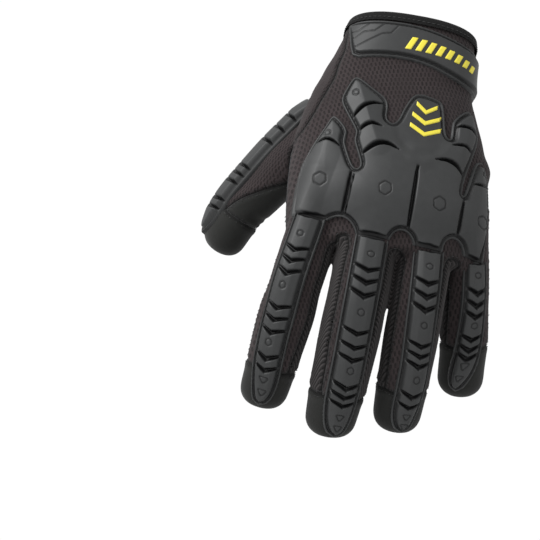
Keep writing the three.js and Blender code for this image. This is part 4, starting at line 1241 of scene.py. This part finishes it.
def binding_mesh():
    """The band folded over the rim, slightly pulled in at its stitches."""
    turns = np.linspace(0, 2 * np.pi, 240, endpoint=False)
    section = [
        (BINDING_LIFT, -BINDING_HEIGHT), (BINDING_LIFT + 0.1, -4), (BINDING_LIFT, -2),
        (BINDING_LIFT * 0.8, -0.7), (0, -0.1), (-WALL / 2, 0), (-WALL, -0.1),
        (-WALL - BINDING_LIFT * 0.8, -0.7), (-WALL - BINDING_LIFT, -2),
        (-WALL - BINDING_LIFT, -BINDING_HEIGHT),
    ]
    rows = []
    for grow, z in section:
        pucker = 0.14 * np.sin(turns * 60) if z < -3 else 0
        rows.append(hand_point(turns, np.full(turns.shape, float(z)), grow + pucker))
    return loft(np.array(rows)[::-1], closed_ends=False)


def binding_stitches():
    turns = np.linspace(0, 2 * np.pi, 200)
    line = hand_point(turns, np.full(turns.shape, -BINDING_SEAM), BINDING_LIFT + 0.25)
    return stitches_along(line, line * np.array([1, 1, 0]))


def pull_tab_mesh():
    """A folded strip of webbing with rounded edges, hanging from the binding on the palm side."""
    top = PULL_OVERLAP - BINDING_HEIGHT
    heights = np.linspace(top, top - PULL_LENGTH, 40)
    angles = np.linspace(0, 2 * np.pi, 40, endpoint=False)
    across = signed_power(np.cos(angles), 0.35) * PULL_WIDTH / 2
    out = (signed_power(np.sin(angles), 0.6) + 1) / 2 * PULL_THICKNESS
    rings = []
    for i, z in enumerate(heights):
        base = hand_point(np.full(angles.shape, -np.pi / 2), np.full(angles.shape, z), BINDING_LIFT + GAP)
        end = min(1, 0.6 + min(i, len(heights) - 1 - i) * 0.2)
        base[:, 0] += across
        base[:, 1] += mix(PULL_THICKNESS / 2, out, end)
        rings.append(base)
    return loft(rings)


# Materials
class Shader:
    """A small helper for building one material's nodes."""

    def __init__(self, name, roughness, **fixed):
        self.material = bpy.data.materials.new(name)
        self.material.use_nodes = True
        self.tree = self.material.node_tree
        self.surface = self.tree.nodes["Principled BSDF"]
        self.surface.inputs["Roughness"].default_value = roughness
        for socket, value in fixed.items():
            self.surface.inputs[socket.replace("_", " ")].default_value = value
        self.place = self.tree.nodes.new("ShaderNodeTexCoord").outputs["Object"]

    def node(self, kind, operation=None, **inputs):
        made = self.tree.nodes.new(kind)
        if operation:
            made.operation = operation
        for socket, value in inputs.items():
            target = made.inputs[int(socket[1:])] if socket[0] == "n" else made.inputs[socket]
            if hasattr(value, "links"):
                self.tree.links.new(value, target)
            else:
                target.default_value = value
        return made

    def math(self, operation, a, b=0.0):
        return self.node("ShaderNodeMath", operation, n0=a, n1=b).outputs[0]

    def vector(self, operation, a, **inputs):
        return self.node("ShaderNodeVectorMath", operation, n0=a, **inputs).outputs

    def along(self, place, direction, pitch):
        """A wave along a direction."""
        length = self.vector("DOT_PRODUCT", place, n1=direction)["Value"]
        return self.math("SINE", self.math("MULTIPLY", length, 2 * math.pi / (pitch * MM)))

    def noise(self, scale, detail=3.0):
        made = self.node("ShaderNodeTexNoise", Vector=self.place, Scale=scale, Detail=detail)
        return made.outputs["Fac"]

    def mask(self, name):
        made = self.tree.nodes.new("ShaderNodeAttribute")
        made.attribute_name = name
        return made.outputs["Fac"]

    def blend(self, share, a, b):
        made = self.tree.nodes.new("ShaderNodeMix")
        made.data_type = "RGBA"
        for socket, value in ((made.inputs[0], share), (made.inputs[6], a), (made.inputs[7], b)):
            if hasattr(value, "links"):
                self.tree.links.new(value, socket)
            else:
                socket.default_value = value
        return made.outputs[2]

    def colour(self, value):
        self.tree.links.new(value, self.surface.inputs["Base Color"])

    def bump(self, height, depth, strength=1.0):
        made = self.node("ShaderNodeBump", Height=height, Strength=strength, Distance=depth * MM)
        self.tree.links.new(made.outputs[0], self.surface.inputs["Normal"])

    def wobbled(self, scale, reach):
        """The place shifted by a slow noise, so that a pattern isn't quite even."""
        cloud = self.node("ShaderNodeTexNoise", Vector=self.place, Scale=scale)
        centred = self.vector("SUBTRACT", cloud.outputs["Color"], n1=(0.5, 0.5, 0.5))["Vector"]
        scaled = self.vector("SCALE", centred, Scale=reach * MM)["Vector"]
        return self.vector("ADD", self.place, n1=scaled)["Vector"]

    def lobes(self, direction_a, direction_b, pitch_a, pitch_b, wobble=0.0):
        """Staggered ovals: the product of two waves along two directions."""
        place = self.wobbled(300, wobble) if wobble else self.place
        waves = (self.along(place, direction_a, pitch_a), self.along(place, direction_b, pitch_b))
        return self.math("MULTIPLY", *waves)


def grey(level):
    return (level, level, level, 1)


def rubber_material():
    shader = Shader("moulded_rubber", 0.5, Specular_IOR_Level=0.22)
    speckle = shader.noise(260, 2)
    body = shader.blend(speckle, (0.0155, 0.0161, 0.0163, 1), (0.0212, 0.022, 0.0223, 1))
    # Painted shade: the mask read here turns groove floors, cut lines and sewn channels near black
    shader.colour(shader.blend(shader.mask("painted_shade"), body, (0.003, 0.003, 0.0032, 1)))
    shader.bump(shader.noise(1400, 2), 0.05, 0.6)
    return shader.material


def mesh_material(name, across, along, pitches):
    """A knit with oval holes; the two directions and pitches place them."""
    shader = Shader(name, 0.92, Sheen_Weight=0.04, Sheen_Roughness=0.6, Specular_IOR_Level=0.1)
    ovals = shader.lobes(across, along, *pitches, wobble=1.1)
    hole = shader.math("SMOOTH_MIN", shader.math("MAXIMUM", shader.math("MULTIPLY", ovals, 2.6), 0), 1.0)
    knit = shader.blend(hole, (0.025, 0.0192, 0.0196, 1), (0.0045, 0.0034, 0.0036, 1))
    worn = shader.blend(shader.noise(90), knit, (0.0145, 0.0113, 0.0115, 1))
    # Painted shade: the sunk seam lines are coloured near black
    shader.colour(shader.blend(shader.mask("seam"), worn, grey(0.004)))
    shader.bump(shader.math("SUBTRACT", 0, hole), 0.35, 0.8)
    return shader.material


def suede_material(name, colour):
    shader = Shader(name, 0.95, Sheen_Weight=0.08, Sheen_Roughness=0.5, Specular_IOR_Level=0.1)
    light = tuple(1.6 * channel for channel in colour)
    nap = shader.blend(shader.noise(700, 5), (*colour, 1), (*light, 1))
    brushed = shader.blend(shader.noise(60, 4), nap, (*colour, 1))
    # Painted shade: the sunk seam lines are coloured near black
    shader.colour(shader.blend(shader.mask("seam"), brushed, grey(0.003)))
    shader.bump(shader.noise(1500, 4), 0.15, 0.7)
    return shader.material


def ribbed_material():
    shader = Shader("ribbed_cloth", 0.9, Sheen_Weight=0.04, Specular_IOR_Level=0.12)
    # Painted shade: the colour follows the ribs' own wave, near black in the troughs and lighter on the
    # crests
    share = shader.math("MULTIPLY_ADD", shader.along(shader.place, (0, *RIB_SLANT), RIB_PITCH), 0.5)
    cloth = shader.blend(share, grey(0.0015), (0.034, 0.031, 0.031, 1))
    # Painted shade: the sunk seam lines are coloured near black
    shader.colour(shader.blend(shader.mask("seam"), cloth, grey(0.002)))
    shader.bump(shader.noise(1200), 0.1, 0.5)
    return shader.material


def woven_material(name, level, pitch):
    shader = Shader(name, 0.85, Sheen_Weight=0.02, Specular_IOR_Level=0.12)
    weave = shader.lobes((1, 0, 0.4), (0.4, 0, -1), pitch, pitch)
    share = shader.math("ABSOLUTE", weave)
    shader.colour(shader.blend(share, grey(level), grey(level * 2.2)))
    shader.bump(weave, 0.15, 0.8)
    return shader.material


def plain_material(name, colour, roughness, grain, evenness=0.8):
    shader = Shader(name, roughness)
    darker = tuple(channel * evenness for channel in colour)
    shader.colour(shader.blend(shader.noise(grain), (*darker, 1), (*colour, 1)))
    shader.bump(shader.noise(grain * 3), 0.05, 0.5)
    return shader.material


# Directions and pitches of the knits' holes
HAND_KNIT = ((0.95, 0.1, 0.3), (-0.25, 0.15, 1), (2.2, 5.2))
THUMB_KNIT = ((0.5, -0.75, -0.4), (-0.3, 0.1, -1), (1.5, 4.6))


def rubber_sheet(rubber, name, node, surface, outline, height, spacing=0.4):
    points, faces, painted_shade = relief_sheet(surface, outline, height, spacing)
    make_piece(name, points, faces, rubber, "rubber", [node], {"painted_shade": painted_shade})


def build_guards(rubber):
    rubber_sheet(rubber, "guard_over_hand", "back_guard", back_point, GUARD_OUTLINE, hand_guard_height, 0.45)
    stitched = channel_stitches(back_point, GUARD_OUTLINE, lambda x, z: knuckle_past(x, z)[0] < -1)
    for finger in fingers:
        start = KNUCKLES[finger.name] * finger.length
        end = STRIPS[finger.name]["end"] * finger.length
        outline = strip_outline(finger, start - STRIP_START, end, STRIP_WIDTH)
        name = f"guard_strip_{finger.name}"
        rubber_sheet(rubber, name, "back_guard", finger.strip_point, outline, finger_strip_height(finger))
        stitched += channel_stitches(finger.strip_point, outline, lambda u, v, s=start: v > s + 1)
    start, end = (STRIPS["thumb"][key] * thumb.length for key in ("start", "end"))
    outline = strip_outline(thumb, start, end, THUMB_STRIP_WIDTH)
    rubber_sheet(rubber, "guard_thumb", "thumb_guard", thumb.strip_point, outline, thumb_strip_height)
    stitched += channel_stitches(thumb.strip_point, outline, lambda u, v: v > start + 2)
    return stitched


def build_tab(rubber):
    outline = tab_outline()
    rubber_sheet(rubber, "closure_tab", "wrist_tab", tab_surface, outline, tab_height)
    return channel_stitches(tab_surface, outline, lambda arc, z: arc > 0)


def build_accents(accent):
    for name, surface, outlines, base in (
        ("tab_bars", tab_surface, tab_bars(), TAB_LIFT),
        ("badge_chevrons", back_point, badge_chevrons(), BADGE_LIFT),
    ):
        sheets = [relief_sheet(surface, outline, raised_on(base), 0.3) for outline in outlines]
        points, faces = joined([(points, faces.tolist()) for points, faces, _ in sheets])
        make_piece(name, points, faces, accent, "accent")


def build_cloth(thread):
    points, quads, labels, masks, borders = cloth_surface()
    knit = mesh_material("air_mesh", *HAND_KNIT)
    thumb_knit = mesh_material("air_mesh_thumb", *THUMB_KNIT)
    suede = suede_material("suede", (0.0105, 0.0115, 0.0148))
    tip_suede = suede_material("tip_suede", (0.0092, 0.0094, 0.0088))
    ribs = ribbed_material()
    looks = {"palm_panel": (suede, "suede"), "back_panel": (knit, "mesh_cloth"),
             "thumb_back_panel": (thumb_knit, "mesh_cloth"), "thumb_palm_panel": (tip_suede, "suede"),
             "fingertips": (tip_suede, "suede"), "thumb_tip": (tip_suede, "suede")}
    for number, panel in enumerate(PANELS):
        chosen = quads[labels == number]
        part, faces, part_masks = subset(points, chosen, masks)
        is_web = panel.startswith("fourchette")
        if is_web:
            part, faces, part_masks = ribbed(part, faces, part_masks)
        material, slot = (ribs, "ribbed_cloth") if is_web else looks[panel]
        nodes = NODES_OF_PANELS[panel]
        thickened(make_piece(f"cloth_{panel}", part, faces, material, slot, nodes, part_masks))
    stitch_points, stitch_faces = seam_stitches(points, quads, borders)
    make_piece("seam_stitches", stitch_points, stitch_faces, thread, "thread")


def build_trim(thread):
    binding = woven_material("binding_tape", 0.0028, 0.9)
    make_piece("binding", *binding_mesh(), binding, "binding", ["cuff_binding"])
    webbing = woven_material("webbing", 0.004, 1.2)
    make_piece("pull_webbing", *pull_tab_mesh(), webbing, "webbing", ["pull_tab"])
    make_piece("binding_stitches", *joined(binding_stitches()), thread, "thread")


# Studio
PIXEL = 0.551
FRAME = 540
DISTANCE = 1300
ELEVATION = -20
ROLL = 10
ORIGIN_PIXEL = (411, 37)
SENSOR = 36
FLOOR_Z = -0.95
WORLD_STRENGTH = 1.02
LIGHT_TARGET = (0, 0, -0.11)
LIGHTS = {"key": ((-1.1, -0.85, 0.45), 0.9, 42), "fill": ((0.9, -0.9, 0.1), 1.0, 3.5)}
FLOOR_REACH = 6


def view_axes():
    tilt, roll = math.radians(ELEVATION), math.radians(ROLL)
    back = np.array([0, -math.cos(tilt), math.sin(tilt)])
    right = np.array([1.0, 0, 0])
    up = np.cross(back, right)
    cos, sin = math.cos(roll), math.sin(roll)
    return right * cos + up * sin, up * cos - right * sin, back


def add_camera():
    right, up, back = view_axes()
    centre = -right * (ORIGIN_PIXEL[0] - FRAME / 2) * PIXEL - up * (FRAME / 2 - ORIGIN_PIXEL[1]) * PIXEL
    camera = add_object("camera", bpy.data.cameras.new("camera"))
    camera.data.sensor_width = SENSOR
    camera.data.lens = SENSOR * DISTANCE / (PIXEL * FRAME)
    matrix = Matrix(np.stack([right, up, back], axis=1).tolist()).to_4x4()
    matrix.translation = ((centre + back * DISTANCE) * MM).tolist()
    camera.matrix_world = matrix
    bpy.context.scene.camera = camera


def add_light(name, place, size, power):
    lamp = bpy.data.lights.new(name, "AREA")
    lamp.size = size
    lamp.energy = power
    light = add_object(name, lamp)
    direction = np.array(LIGHT_TARGET, float) - np.array(place)
    light.location = place
    light.rotation_euler = Vector(direction.tolist()).to_track_quat("-Z", "Y").to_euler()


def add_studio():
    world = bpy.data.worlds.new("studio")
    world.use_nodes = True
    world.node_tree.nodes["Background"].inputs["Color"].default_value = (1, 1, 1, 1)
    world.node_tree.nodes["Background"].inputs["Strength"].default_value = WORLD_STRENGTH
    bpy.context.scene.world = world
    bpy.context.scene.view_settings.view_transform = "Standard"
    for name, (place, size, power) in LIGHTS.items():
        add_light(name, place, size, power)
    mesh = bpy.data.meshes.new("floor")
    corners = [(x * FLOOR_REACH, y * FLOOR_REACH, FLOOR_Z) for x, y in ((-1, -1), (1, -1), (1, 1), (-1, 1))]
    mesh.from_pydata(corners, [], [(0, 1, 2, 3)])
    mesh.materials.append(plain_material("floor_paper", (0.82, 0.82, 0.82), 0.9, 90, 0.985))
    floor = add_object("floor", mesh)


add_camera()
add_studio()
rubber = rubber_material()
thread = plain_material("thread", (0.009, 0.009, 0.0092), 0.8, 900)
accent = plain_material("yellow_print", (0.5, 0.43, 0.022), 0.5, 600)
sewn = build_guards(rubber) + build_tab(rubber)
make_piece("guard_stitches", *joined(sewn), thread, "thread")
build_accents(accent)
build_cloth(thread)
build_trim(thread)
